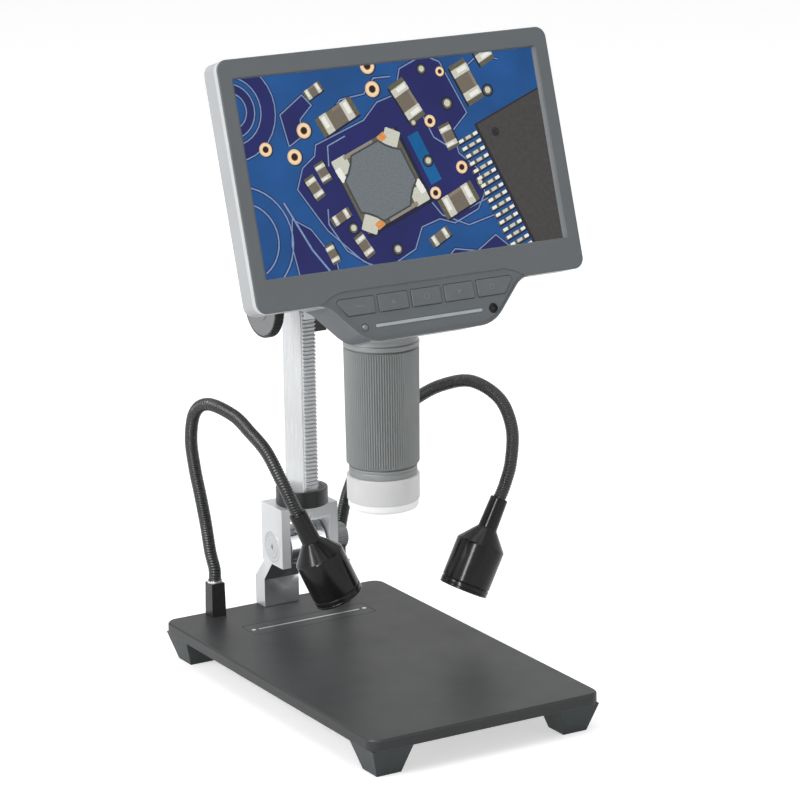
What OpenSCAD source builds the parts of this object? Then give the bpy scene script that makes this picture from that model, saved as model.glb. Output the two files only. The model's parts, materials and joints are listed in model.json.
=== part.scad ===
// Digital inspection microscope: a flat screen and a vertical barrel on a rack stand, with two neck lamps.
// Origin: middle of the base's footprint, on the table. +X to the user's right, +Y to the back, +Z up.

/* [Base] */
// Width of the base plate
base_w = 120; // [112:1:150]
// Depth of the base plate
base_d = 200; // [190:1:240]
// Thickness of the base plate
base_t = 5.3; // [5:0.1:8]
// Corner radius of the base plate
base_r = 6; // [3:0.5:9]
// Bevel round the top edge of the base plate
base_edge = 0.8; // [0.4:0.1:1.5]
// Height of each foot
foot_h = 13.5; // [12:0.5:20]
// Side of each foot where it meets the plate
foot_top_w = 21; // [18:0.5:24]
// Side of each foot on the table
foot_low_w = 12.5; // [10:0.5:16]
// Distance from the plate's edge to the top of a foot
foot_inset = 0.75; // [0.25:0.25:4]
// Width of the inlaid bar panel
inlay_w = 66.4; // [50:1:90]
// Depth of the inlaid bar panel
inlay_d = 14.6; // [10:0.2:18]
// Thickness of the inlaid bar panel
inlay_t = 1.2; // [0.8:0.1:2]
// Distance of the inlaid panel's middle in front of the base's back edge
inlay_inset = 36.7; // [32:0.5:60]
// Length of the bright line in the inlay
line_w = 55.4; // [30:1:56]
// Width of the bright line in the inlay
line_d = 1; // [0.6:0.1:2]

/* [Tilting fork] */
// Distance of the tilt pivot in front of the base's back edge
pivot_inset = 29; // [27:0.5:40]
// Height of the tilt pivot above the base plate
pivot_up = 36.7; // [34:0.5:50]
// Width of the foot bracket
bracket_w = 19.2; // [16:0.2:22]
// Depth of the bracket's foot
bracket_foot_d = 9.5; // [8:0.5:12]
// Height of the bracket's upright foot
bracket_foot_h = 14.2; // [10:0.2:16]
// Radius of the bracket's round head
bracket_head_r = 9.5; // [8.6:0.1:10]
// Width of the fork block
fork_w = 30.6; // [29:0.2:36]
// Thickness of each fork cheek
fork_wall = 4.6; // [4:0.1:5.2]
// Fork block in front of the pivot
fork_front = 10.2; // [9.8:0.1:12]
// Fork block behind the pivot
fork_back = 10.2; // [9.8:0.1:12]
// Fork block below the pivot
fork_low = 8.5; // [8.2:0.1:10]
// Fork block above the pivot
fork_up = 20.8; // [19:0.2:24]
// Thickness of the bar across the top of the fork
fork_bar = 6.3; // [5.5:0.1:7.5]
// Radius of the pivot bolt
bolt_r = 3; // [2.5:0.1:3.5]
// Radius of the pivot bolt's flat head
bolt_head_r = 7.5; // [6.5:0.1:7.8]
// Radius of the clamp knob
clamp_r = 6.4; // [5:0.1:8]
// Thickness of the clamp knob
clamp_t = 8; // [6:0.1:9]

/* [Column] */
// Width of the column bar
col_w = 8; // [7.4:0.2:9]
// Depth of the column bar
col_d = 17.8; // [15:0.2:18.2]
// Length of the column bar
col_h = 155.7; // [150:1:190]
// Distance of the column's middle in front of the pivot
col_ahead = 2.9; // [1:0.1:3.2]
// Outer radius of the collar at the foot of the column
collar_r = 12.5; // [12:0.1:14]
// Height of the collar
collar_h = 8.1; // [5:0.1:12]
// Width of the rack
rack_w = 6.6; // [5:0.2:7]
// Thickness of the rack from its back to the tips of its teeth
rack_t = 2.2; // [2:0.1:2.6]
// Module of the rack and pinion teeth
gear_m = 0.6; // [0.55:0.01:0.65]
// Number of teeth on the pinion
pinion_n = 16; // [15:1:18]

/* [Carriage] */
// Height of the focus shaft above the top of the fork block
drive_up = 103.7; // [98:1:110]
// Width of the carriage block
car_w = 24; // [22:1:28]
// Carriage block below the focus shaft
car_low = 4; // [3.5:0.5:8]
// Carriage block above the focus shaft
car_up = 19; // [19:1:23]
// Radius of the focus knobs
knob_r = 15.5; // [15:0.5:17]
// Width of a focus knob's rim
knob_rim = 5; // [4:0.5:8]
// Distance between the outer faces of the two focus knobs
knob_span = 56.8; // [52:0.2:62]
// Radius of the focus shaft
shaft_r = 2; // [1.8:0.1:2.2]
// Distance from the column's middle to the barrel's axis
reach = 78.1; // [76:1:90]

/* [Barrel] */
// Height of the focus shaft above the barrel's lowest point
barrel_drop = 86; // [83:1:89]
// Height of the translucent light cap
cap_h = 15.9; // [14:0.1:17]
// Radius of the light cap at its upper edge
cap_r = 16.8; // [16.4:0.1:17]
// Height of the plain ring above the light cap
nose_h = 4.8; // [4:0.1:7]
// Radius of that ring
nose_r = 15.7; // [15.5:0.1:16.2]
// Height of the ribbed focus ring
sleeve_h = 55; // [50:1:56]
// Radius of the focus ring at its upper edge
sleeve_r = 17.3; // [17:0.1:17.6]
// Number of ribs round the focus ring
rib_n = 92; // [40:4:100]
// Depth of the ribs round the focus ring
rib_t = 0.45; // [0.2:0.05:0.6]
// Radius of the fixed ring above the focus ring
crown_r = 17.4; // [17.2:0.1:18]
// Radius of the barrel's inner tube
tube_r = 15; // [14.8:0.1:15.3]
// Wall of the barrel's inner tube
tube_wall = 1.8; // [1.2:0.1:2]

/* [Screen] */
// Angle by which the screen leans back from upright
screen_lean = 17.4; // [14:0.2:20]
// Height of the screen housing's lower front edge above the focus shaft
screen_up = 22.28; // [21:0.02:27]
// Distance of that edge in front of the barrel's axis
screen_ahead = 38.49; // [38:0.01:42]
// Rim of the housing beside the picture
rim_side = 7.9; // [6.9:0.1:14]
// Rim of the housing above the picture
rim_top = 8.9; // [8.5:0.1:15]
// Rim of the housing below the picture
rim_low = 14.8; // [14.2:0.1:17]
// Corner radius of the screen housing
scr_r = 5; // [3.5:0.5:9]
// Width of the visible picture
view_w = 152.4; // [150:0.1:160]
// Height of the visible picture
view_h = 87.4; // [86:0.1:90]
// Thickness of the front bezel
bezel_t = 1.8; // [1.6:0.1:2.6]
// Depth of the housing behind the bezel
shell_d = 11; // [10.6:0.2:16]
// Depth of the key panel behind the bezel
panel_d = 18; // [14:0.5:20]
// Wall of the back shell
shell_wall = 2; // [1.6:0.1:2.2]
// Width of the key panel where it leaves the housing
panel_top_w = 100.4; // [98:0.2:110]
// Width of the key panel along its lower edge
panel_low_w = 64.8; // [60:0.2:70]
// Drop of the key panel below the housing
panel_drop = 18.9; // [18:0.1:21]
// Width of a key
key_w = 15; // [12:0.5:15.4]
// Height of a key
key_h = 7.6; // [6:0.2:7.8]
// Distance from one key to the next
key_pitch = 16.95; // [16.8:0.05:17.5]
// Travel of a key
key_travel = 0.8; // [0.4:0.1:0.9]

/* [Lamps] */
// Distance of each lamp boot from the middle plane
boot_x = 34.8; // [32:0.1:45]
// Distance of each lamp boot in front of the base's back edge
boot_inset = 6; // [5:0.5:20]
// Height of a lamp boot
boot_h = 16.5; // [15:0.5:20]
// Side of a lamp boot at its foot
boot_w = 7.5; // [7.3:0.1:9]
// Side of a lamp boot at its top
boot_top_w = 7; // [6.9:0.1:8]
// Outer radius of the ribbed necks
neck_r = 3.1; // [2.8:0.05:3.15]
// Reach and rise of each neck's arch
neck_size = 100; // [94:1:104]
// Distance from one neck rib to the next
neck_pitch = 2; // [1.8:0.1:4]
// Radius of a lamp head
lamp_r = 11.75; // [11:0.25:12]
// Length of a lamp's slender upper part
lamp_stem_h = 15.1; // [12:0.1:18]
// Length of a lamp's cone
lamp_cone_h = 8.4; // [6:0.1:12]
// Length of a lamp's drum
lamp_drum_h = 19.2; // [15:0.1:24]
// Length of the ring at a lamp's mouth
lamp_ring_h = 3.7; // [3.4:0.1:6]

/* [Hidden] */
$fn = 64;
coarse = 32;

// Clearances: a turning fit, a fixed seat, and a gap between parts that slide or stand apart
fit = 0.05;
seat = 0.1;
gap = 0.3;
// How far a cutting shape runs past what it cuts
over = 1;

// Screws: the stand and arm use one size, the screen housing a smaller one
screw_r = 1.5;
screw_head_r = 2.75;
screw_head_h = 2;
hex_r = 1.25;
hex_h = 1.2;
small_screw_r = 1.25;
small_head_r = 2.1;
small_head_h = 1.2;

// Base
base_top = foot_h + base_t;
foot_x = base_w / 2 - foot_inset - foot_top_w / 2;
foot_y = base_d / 2 - foot_inset - foot_top_w / 2;
foot_web = 6;
foot_sink_h = foot_h - foot_web;
plate_bite = 3.5;
inlay_y = base_d / 2 - inlay_inset;
inlay_r = 1.5;
line_t = 0.5;
pin_r = 1.1;
pin_x = inlay_w / 2 - 2.5 * pin_r;
inlay_proud = 0.05;
underside_sink = 2;

// Tilting fork
pivot_y = base_d / 2 - pivot_inset;
pivot_z = base_top + pivot_up;
fork_top_z = pivot_z + fork_up;
fork_in = fork_w / 2 - fork_wall;
fork_slot_z = fork_top_z - fork_bar;
bolt_head_t = 2.2;
clamp_cap_t = 1.5;
bolt_grip = clamp_t - clamp_cap_t;
washer_r = 7;
washer_t = fork_in - bracket_w / 2 - seat;
// Elbow of the bracket's neck, behind and in front, as shares of the head's radius from the pivot
elbow_shares = [[2.13, -1.36], [1.2, -1.31]];
neck_angles = [52, 262];
bracket_screw_x = bracket_w / 4;
bracket_screw_y = base_d / 2 - bracket_foot_d / 2;
screw_bite = 8;

// Column
col_y = pivot_y - col_ahead;
col_r = 0.7;
col_top = fork_top_z + col_h;
col_front = col_y - col_d / 2;
col_back = col_y + col_d / 2;
collar_wall = 1.5;
collar_floor = 1.2;
col_cap_t = 3;
col_cap_lip = 0.6;
cap_pin_r = 1.5;
cap_pin_h = 6;
column_screw_y = 4.5;

// Rack and pinion
tooth_angle = 20;
addendum_share = 0.9;
dedendum_share = 1.25;
tooth_pitch = PI * gear_m;
backlash = 0.12;
pinion_r = pinion_n * gear_m / 2;
pinion_w = rack_w;
rack_tip = col_front - rack_t;
drive_y = rack_tip + gear_m - pinion_r - seat / 2;
drive_z = fork_top_z + drive_up;
rack_z0 = fork_top_z + collar_h + gap;
rack_z1 = col_top - tooth_pitch;
tooth_low = ceil((rack_z0 - drive_z) / tooth_pitch);
tooth_high = floor((rack_z1 - drive_z) / tooth_pitch) - 1;
base_circle_r = pinion_r * cos(tooth_angle);

// Carriage
slide_gap = 0.2;
car_ahead = 8.7;
car_front = drive_y - car_ahead;
car_wall = 4.6;
car_back = col_back + car_wall;
car_z0 = drive_z - car_low;
car_z1 = drive_z + car_up;
bush_wall = 1.2;
bush_r = shaft_r + bush_wall;
bush_flange_t = 0.8;
bush_flange_r = bush_r + bush_wall;
lug_t = 6.3;
lug_h = 14.5;
lug_y = col_y;
knob_x = knob_span / 2;
hub_r = 5;
cap_disc_r = 14.4;
cap_disc_t = 1;
knob_lip = 0.4;

// Barrel
barrel_y = col_y - reach;
barrel_low = drive_z - barrel_drop;
cap_top = barrel_low + cap_h;
nose_top = cap_top + nose_h;
sleeve_top = nose_top + sleeve_h;
sleeve_taper = 0.5;
sleeve_low_r = sleeve_r - sleeve_taper;
hump_up = 4;
hump_z0 = drive_z + hump_up;
hump_wall = 2.5;
crown_top = hump_z0 + hump_wall;
tube_rise = 9;
tube_top = crown_top + tube_rise;
bore_r = tube_r - tube_wall;
cap_wall = 1.5;
cap_taper = 0.5;
cap_band = 4;
crown_band = 2.6;
crown_groove_t = 2;
cap_round = 1.4;
lens_hole_r = 8.5;
ledge_t = 2;
ledge_w = 1.2;
ledge_r = bore_r - ledge_w;
spigot_wall = 0.9;
board_t = 1.6;
cell_h = 36;
cell_up = 14;
cell_z = nose_top + cell_up;
cell_wall = 2.8;
glass_r = bore_r - cell_wall;
glass_t = 3.5;
ring_led_n = 8;
ring_led_r = 1.1;
ring_led_pitch_r = lens_hole_r + 1;
sensor_w = 10;
sensor_t = 2;

// Screen
scr_w = view_w + 2 * rim_side;
scr_top = view_h / 2 + rim_top;
scr_low = view_h / 2 + rim_low;
screen_y = barrel_y - screen_ahead + scr_low * sin(screen_lean);
screen_z = drive_z + screen_up + scr_low * cos(screen_lean);
panel_in_r = 11;
panel_out_r = 16.6;
panel_slope = atan2(panel_drop, (panel_top_w - panel_low_w) / 2);
arc_steps = 6;
view_bevel = 1.3;
pocket_t = 0.5;
pocket_up = 4.6;
pocket_v = scr_low - pocket_up;
pocket_w = 84;
face_t = bezel_t - pocket_t;
key_drop = 2.4;
key_v = -scr_low - key_drop;
key_proud = 0.45;
key_gap = 0.25;
key_flange = 0.6;
key_flange_t = 0.6;
key_stem = 2.6;
key_slant_share = 0.65;
key_slant = key_slant_share * key_h;
key_tip = 1.4;
key_out_x = 2 * key_pitch - key_w / 2;
key_margin = 5;
key_out_w = panel_top_w / 2 - key_margin - key_out_x;
switch_w = 4;
switch_t = 1.1;
key_board_z = -key_stem - key_travel - seat - switch_t;
key_board_h = 13;
post_r = 0.9;
post_drop = 2.8;
post_v = key_v - key_h / 2 - post_drop;
light_out = 0.5;
light_x = -panel_low_w / 2 - light_out;
light_drop = 12;
light_v = -scr_low - light_drop;
light_r = 1.5;
strip_w = 55;
strip_h = 1.3;
strip_t = 0.8;
remote_out = 0.8;
remote_x = panel_low_w / 2 + remote_out;
remote_r = 2.2;
lcd_rim = 2.7;
lcd_w = view_w + 2 * lcd_rim;
lcd_h = view_h + 2 * lcd_rim;
lcd_t = 3.4;
main_w = 100;
main_h = 66;
main_post_h = 1.5;
main_z = -shell_d + shell_wall + main_post_h;
main_post_r = 2;
chip_w = 14;
chip_t = 1.2;
shell_screw_in = 14.1;
shell_screw_x = scr_w / 2 - shell_screw_in;
shell_screw_inset = 4.6;
shell_screw_up = scr_top - shell_screw_inset;
shell_screw_low = -scr_low + shell_screw_inset;
shell_boss_r = 2.2;
socket_v = [20, 4, -12];
socket_w = [12, 9, 8];
socket_d = 8;
socket_t = 3.2;
socket_wall = 0.4;
hump_side = 1.4;
hump_w = 2 * crown_r + 2 * hump_side;
hump_back = 20;
hump_h = 40;
hump_reach = 52.5;
hump_v = hump_reach - scr_low;
hump_toe_share = 0.72;
hump_rear_y = barrel_y + hump_back;

// Arm between the head and the carriage
arm_w = 12;
arm_h = 12;
arm_up = 7;
arm_z0 = drive_z + arm_up;
flange_t = 3;
front_flange_w = 32;
front_flange_h = 28;
rear_flange_w = car_w;
flange_rim = 4;
rear_flange_h = arm_h + flange_rim;
arm_screw_inset = 3.5;
arm_screw_x = front_flange_w / 2 - arm_screw_inset;
arm_screw_inset_z = 5.5;
arm_screw_z = [arm_z0 + arm_screw_inset_z, arm_z0 + front_flange_h - arm_screw_inset_z];
car_screw_x = 9.2;
car_screw_z = arm_z0 + flange_rim;
arm_bite = 6;
arm_boss_r = 3;

// Lamps. Each route starts at the top of its boot and ends at the top of its lamp, as shares of neck_size
left_route_shares = [[0, 0, 0], [0, 0, .065], [-.01, .02, .15], [-.02, .04, .29], [-.05, .03, .44],
    [-.08, .02, .58], [-.11, -.01, .74], [-.11, -.06, .88], [-.09, -.17, .94], [-.04, -.32, .91],
    [-.03, -.46, .86], [-.01, -.58, .79], [.02, -.66, .67], [.05, -.69, .58], [.08, -.70, .51]];
right_route_shares = [[0, 0, 0], [0, 0, .07], [.02, .02, .17], [.05, 0, .33], [.09, -.05, .48],
    [.14, -.13, .62], [.20, -.23, .75], [.26, -.34, .86], [.32, -.47, .94], [.39, -.62, .98],
    [.45, -.77, .92], [.45, -.88, .80], [.40, -.95, .66], [.365, -.95, .55], [.335, -.95, .49]];
boot_y = base_d / 2 - boot_inset;
boot_top = base_top + boot_h;
neck_seat = 8;
neck_rib = 0.35;
neck_bore_r = 1.5;
neck_sides = 8;
bore_step = 4;
lamp_stem_r = 4.2;
lamp_neck_r = 4.6;
lamp_wall = 1.8;
lamp_spigot = 2;
lamp_lip = 2.2;
lamp_lens_t = 1.3;
led_board_t = 1.6;
led_r = 2.6;
groove = 0.35;

// Flat rectangle with round corners
module round_rect(w, h, r) {
    square([w - 2 * r, h], center = true);
    square([w, h - 2 * r], center = true);
    for (sx = [-1, 1], sy = [-1, 1])
        translate([sx * (w / 2 - r), sy * (h / 2 - r)]) circle(r = r);
}

// Cylinder along X between two places
module rod_x(r, x0, x1) {
    translate([x0, 0, 0]) rotate([0, 90, 0]) cylinder(r = r, h = x1 - x0);
}

// Block between two corners
module span(a, b) {
    translate(a) cube(b - a);
}

// Screw that points up, with its shank starting at the origin
module screw(r, length, head_r, head_h) {
    cylinder(r = r, h = length);
    translate([0, 0, -head_h]) difference() {
        cylinder(r = head_r, h = head_h);
        translate([0, 0, -over]) cylinder(r = hex_r, h = over + min(hex_h, head_h / 2), $fn = 6);
    }
}
module stand_screw(length) {
    screw(screw_r, length, screw_head_r, screw_head_h);
}

// Room for such a screw: its shank's hole upwards and its head's sink downwards
module stand_screw_room(length, sink) {
    cylinder(r = screw_r + seat, h = length + seat);
    translate([0, 0, -sink]) cylinder(r = screw_head_r + seat, h = sink);
}

// Turn +Z towards a direction at a place
module along(place, dir) {
    translate(place) rotate([0, acos(dir[2] / norm(dir)), atan2(dir[1], dir[0])]) children();
}

// Base
module foot_places() {
    for (sx = [-1, 1], sy = [-1, 1]) translate([sx * foot_x, sy * foot_y, 0]) children();
}
module underside_places() {
    for (sx = [-1, 1]) {
        translate([sx * bracket_screw_x, bracket_screw_y, foot_h]) children();
        translate([sx * boot_x, boot_y, foot_h]) children();
    }
}
module base_plate() {
    color([0.27, 0.28, 0.28]) difference() {
        translate([0, 0, foot_h]) hull() {
            linear_extrude(base_t - base_edge) round_rect(base_w, base_d, base_r, $fn = coarse);
            linear_extrude(base_t)
                round_rect(base_w - 2 * base_edge, base_d - 2 * base_edge, base_r - base_edge, $fn = coarse);
        }
        translate([0, inlay_y, base_top - inlay_t]) linear_extrude(inlay_t + over)
            round_rect(inlay_w + 2 * gap, inlay_d + 2 * gap, inlay_r + gap);
        foot_places() translate([0, 0, foot_h - over])
            cylinder(r = screw_r + seat, h = over + plate_bite + seat);
        underside_places() {
            translate([0, 0, underside_sink]) stand_screw_room(base_t, underside_sink + over);
        }
    }
}
module feet() {
    color([0.22, 0.25, 0.26]) foot_places() difference() {
        linear_extrude(foot_h, scale = foot_top_w / foot_low_w) square(foot_low_w, center = true);
        translate([0, 0, -over]) cylinder(r = screw_head_r + 2 * seat, h = foot_sink_h + over);
        cylinder(r = screw_r + seat, h = foot_h + over);
    }
}
module foot_screws() {
    color("silver") foot_places() translate([0, 0, foot_sink_h])
        stand_screw(foot_h - foot_sink_h + plate_bite);
}
module base_screws() {
    color("silver") underside_places() translate([0, 0, underside_sink])
        stand_screw(base_t - underside_sink + screw_bite - over);
}
module base_inlay() {
    color([0.24, 0.25, 0.25]) translate([0, inlay_y, base_top - inlay_t]) difference() {
        linear_extrude(inlay_t) round_rect(inlay_w, inlay_d, inlay_r);
        translate([0, 0, inlay_t - line_t]) linear_extrude(line_t + over)
            square([line_w + 2 * seat, line_d + 2 * seat], center = true);
        for (sx = [-1, 1]) translate([sx * pin_x, 0, -over])
            cylinder(r = pin_r + seat, h = inlay_t + 2 * over);
    }
}
module inlay_line() {
    color([0.75, 0.76, 0.77]) translate([0, inlay_y, base_top - line_t]) linear_extrude(line_t + inlay_proud)
        square([line_w, line_d], center = true);
}
module inlay_pins() {
    color([0.78, 0.79, 0.8]) for (sx = [-1, 1]) translate([sx * pin_x, inlay_y, base_top - inlay_t])
        cylinder(r = pin_r, h = inlay_t + inlay_proud);
}

// Foot bracket, drawn in the YZ plane and drawn out along X
module bracket_outline() {
    head = [pivot_y, pivot_z];
    foot_z = base_top + bracket_foot_h;
    foot_y0 = base_d / 2 - bracket_foot_d;
    polygon([[foot_y0, base_top], [base_d / 2, base_top], [base_d / 2, foot_z],
        head + bracket_head_r * elbow_shares[0],
        head + bracket_head_r * [cos(neck_angles[0]), sin(neck_angles[0])],
        head + bracket_head_r * [cos(neck_angles[1]), sin(neck_angles[1])],
        head + bracket_head_r * elbow_shares[1], [foot_y0, foot_z]]);
    translate(head) circle(r = bracket_head_r);
}
module extrude_x(w) {
    translate([-w / 2, 0, 0]) rotate([90, 0, 90]) linear_extrude(w) children();
}
module foot_bracket() {
    color([0.8, 0.81, 0.82]) difference() {
        extrude_x(bracket_w) bracket_outline();
        translate([0, pivot_y, pivot_z]) rod_x(bolt_r + fit, -bracket_w, bracket_w);
        for (sx = [-1, 1]) translate([sx * bracket_screw_x, bracket_screw_y, base_top - over])
            cylinder(r = screw_r + seat, h = over + screw_bite);
    }
}
module lamp_boots() {
    color([0.1, 0.1, 0.1]) for (sx = [-1, 1]) translate([sx * boot_x, boot_y, base_top]) difference() {
        linear_extrude(boot_h, scale = boot_top_w / boot_w) square(boot_w, center = true);
        translate([0, 0, boot_h - neck_seat]) cylinder(r = neck_r + seat, h = neck_seat + over);
        translate([0, 0, -over]) cylinder(r = screw_r + seat, h = screw_bite);
    }
}

// Necks: a ribbed hose along a smooth curve through the route's points
function blend_point(p, i, t) = let (
        a = p[max(i - 1, 0)], b = p[i], c = p[i + 1], d = p[min(i + 2, len(p) - 1)])
    (2 * b + (c - a) * t + (2 * a - 5 * b + 4 * c - d) * t * t + (3 * b - a - 3 * c + d) * t * t * t) / 2;
route_steps = 10;
function route_curve(p) = concat(
    [for (i = [0:len(p) - 2], k = [0:route_steps - 1]) blend_point(p, i, k / route_steps)], [p[len(p) - 1]]);
function run_lengths(c) = [for (i = 0, s = 0; i < len(c); i = i + 1,
    s = s + (i < len(c) ? norm(c[i] - c[i - 1]) : 0)) s];
function unit(v) = v / norm(v);
function table_point(table, s) = [for (axis = [0:2]) lookup(s, table[axis])];
function neck_ring(table, s, r, side) = let (
        at = table_point(table, s),
        ahead = unit(table_point(table, s + neck_r / 4) - table_point(table, s - neck_r / 4)),
        across = unit(cross(ahead, side)),
        up = cross(across, ahead))
    [for (k = [0:neck_sides - 1])
        at + r * (cos(360 * (k + 0.5) / neck_sides) * up + sin(360 * (k + 0.5) / neck_sides) * across)];
function flat(lists) = [for (l = lists, v = l) v];
// Quads between two rings, each as two triangles
function band(a, b) = flat([for (k = [0:neck_sides - 1]) let (n = (k + 1) % neck_sides)
    [[a + k, b + n, b + k], [a + k, a + n, b + n]]]);
module hose(points, side) {
    curve = route_curve(points);
    runs = run_lengths(curve);
    last = runs[len(runs) - 1];
    ends = [-1, 1] * neck_r;
    table = [for (axis = [0:2]) concat(
        [[ends[0], (curve[0] + ends[0] * unit(curve[1] - curve[0]))[axis]]],
        [for (i = [0:len(curve) - 1]) [runs[i], curve[i][axis]]],
        [[last + ends[1], (curve[len(curve) - 1]
            + ends[1] * unit(curve[len(curve) - 1] - curve[len(curve) - 2]))[axis]]])];
    rib_count = floor((last - 2 * neck_seat) / neck_pitch);
    low = neck_r - neck_rib;
    outer = concat([[0, neck_r]],
        [for (k = [0:rib_count - 1]) each [
            [neck_seat + k * neck_pitch, low], [neck_seat + (k + 0.5) * neck_pitch, neck_r]]],
        [[neck_seat + rib_count * neck_pitch, low], [last, neck_r]]);
    bore_count = ceil(last / bore_step);
    inner = [for (k = [0:bore_count]) [k * last / bore_count, neck_bore_r]];
    rings = concat(outer, inner);
    n_out = len(outer);
    n_all = len(rings);
    vertices = flat([for (ring = rings) neck_ring(table, ring[0], ring[1], side)]);
    m = neck_sides;
    faces = concat(
        flat([for (i = [0:n_out - 2]) band(i * m, (i + 1) * m)]),
        flat([for (i = [n_out:n_all - 2]) band((i + 1) * m, i * m)]),
        band(n_out * m, 0),
        band((n_out - 1) * m, (n_all - 1) * m));
    polyhedron(points = vertices, faces = faces, convexity = 10);
}
function route_places(shares, x) = [for (s = shares) [x, boot_y, boot_top] + neck_size * s];
function neck_points(route) = let (n = len(route), dir = unit(route[n - 1] - route[n - 2]))
    concat([route[0] - [0, 0, neck_seat]], route, [route[n - 1] + neck_seat * dir]);
left_route = route_places(left_route_shares, -boot_x);
right_route = route_places(right_route_shares, boot_x);
function route_side(route) = unit(cross((route[len(route) - 1] - route[0]), [0, 0, 1]));
module neck(route) {
    color([0.13, 0.13, 0.13]) hose(neck_points(route), route_side(route));
}
module gooseneck_left() {
    neck(left_route);
}
module gooseneck_right() {
    neck(right_route);
}

// Lamp head, drawn along +Z from the top of its stem to its mouth
lamp_cone_z = lamp_stem_h + lamp_cone_h;
lamp_drum_z = lamp_cone_z + lamp_drum_h;
lamp_end_z = lamp_drum_z + lamp_ring_h;
lamp_floor = 2;
lamp_board_z = lamp_cone_z + lamp_floor;
lamp_in_r = lamp_r - lamp_wall;
module lamp_place(route) {
    n = len(route);
    along(route[n - 1], route[n - 1] - route[n - 2]) children();
}
module lamp_body() {
    color([0.07, 0.07, 0.07]) difference() {
        rotate_extrude() polygon([[0, 0], [lamp_stem_r, 0], [lamp_neck_r, lamp_stem_h],
            [lamp_r, lamp_cone_z], [lamp_r, lamp_drum_z], [lamp_r - lamp_wall / 2, lamp_drum_z],
            [lamp_r - lamp_wall / 2, lamp_drum_z + lamp_spigot], [0, lamp_drum_z + lamp_spigot]]);
        translate([0, 0, lamp_board_z]) cylinder(r = lamp_in_r, h = lamp_end_z);
        translate([0, 0, -over]) cylinder(r = neck_r + seat, h = neck_seat + over);
        cylinder(r = neck_bore_r, h = lamp_end_z);
    }
}
module lamp_ring() {
    color([0.07, 0.07, 0.07]) difference() {
        rotate_extrude() polygon([[0, lamp_drum_z + seat], [lamp_r - groove, lamp_drum_z + seat],
            [lamp_r - groove, lamp_drum_z + seat + groove], [lamp_r, lamp_drum_z + seat + groove],
            [lamp_r, lamp_end_z - groove], [lamp_r - groove, lamp_end_z], [0, lamp_end_z]]);
        cylinder(r = lamp_in_r - lamp_lip / 2, h = lamp_end_z + over);
        cylinder(r = lamp_r - lamp_wall / 2 + seat, h = lamp_drum_z + lamp_spigot + lamp_lens_t + seat);
    }
}
module lamp_lens() {
    color([0.85, 0.88, 0.9, 0.5]) translate([0, 0, lamp_drum_z + lamp_spigot])
        cylinder(r = lamp_r - lamp_wall / 2, h = lamp_lens_t);
}
module lamp_led() {
    color([0.9, 0.9, 0.8]) translate([0, 0, lamp_board_z]) {
        cylinder(r = lamp_in_r - seat, h = led_board_t);
        cylinder(r = led_r, h = led_board_t + led_r);
    }
}
module lamp_body_left() {
    lamp_place(left_route) lamp_body();
}
module lamp_ring_left() {
    lamp_place(left_route) lamp_ring();
}
module lamp_lens_left() {
    lamp_place(left_route) lamp_lens();
}
module lamp_led_left() {
    lamp_place(left_route) lamp_led();
}
module lamp_body_right() {
    lamp_place(right_route) lamp_body();
}
module lamp_ring_right() {
    lamp_place(right_route) lamp_ring();
}
module lamp_lens_right() {
    lamp_place(right_route) lamp_lens();
}
module lamp_led_right() {
    lamp_place(right_route) lamp_led();
}

// Fork, its bolt and its clamp
module fork_block() {
    color([0.82, 0.83, 0.84]) difference() {
        span([-fork_w / 2, pivot_y - fork_front, pivot_z - fork_low],
            [fork_w / 2, pivot_y + fork_back, fork_top_z]);
        span([-fork_in, pivot_y - fork_front - over, pivot_z - fork_low - over],
            [fork_in, pivot_y + fork_back + over, fork_slot_z]);
        translate([0, pivot_y, pivot_z]) {
            rod_x(bolt_r + seat, -fork_w, fork_w);
            rod_x(bolt_head_r + seat, -fork_w, -fork_w / 2 + bolt_head_t);
        }
        column_screw_places() stand_screw_room(col_h, screw_head_h + over);
    }
}
module pivot_bolt() {
    color([0.78, 0.79, 0.8]) translate([0, pivot_y, pivot_z]) difference() {
        union() {
            rod_x(bolt_head_r, -fork_w / 2, -fork_w / 2 + bolt_head_t);
            rod_x(bolt_r, -fork_w / 2, fork_w / 2 + gap + bolt_grip);
        }
        translate([-fork_w / 2 - over, 0, 0]) rotate([0, 90, 0])
            cylinder(r = hex_r, h = over + bolt_head_t / 2, $fn = 6);
    }
}
module pivot_washers() {
    color([0.2, 0.2, 0.2]) for (sx = [-1, 1]) translate([0, pivot_y, pivot_z]) scale([sx, 1, 1])
        difference() {
            rod_x(washer_r, bracket_w / 2 + seat / 2, bracket_w / 2 + seat / 2 + washer_t);
            rod_x(bolt_r + seat, 0, fork_w);
        }
}
module clamp_knob() {
    x0 = fork_w / 2 + gap;
    color([0.5, 0.52, 0.52]) translate([0, pivot_y, pivot_z]) difference() {
        union() {
            rod_x(clamp_r - groove, x0, x0 + clamp_t);
            rod_x(clamp_r, x0 + groove, x0 + clamp_t - groove);
        }
        rod_x(bolt_r + fit, 0, x0 + bolt_grip + seat);
    }
}

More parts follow.
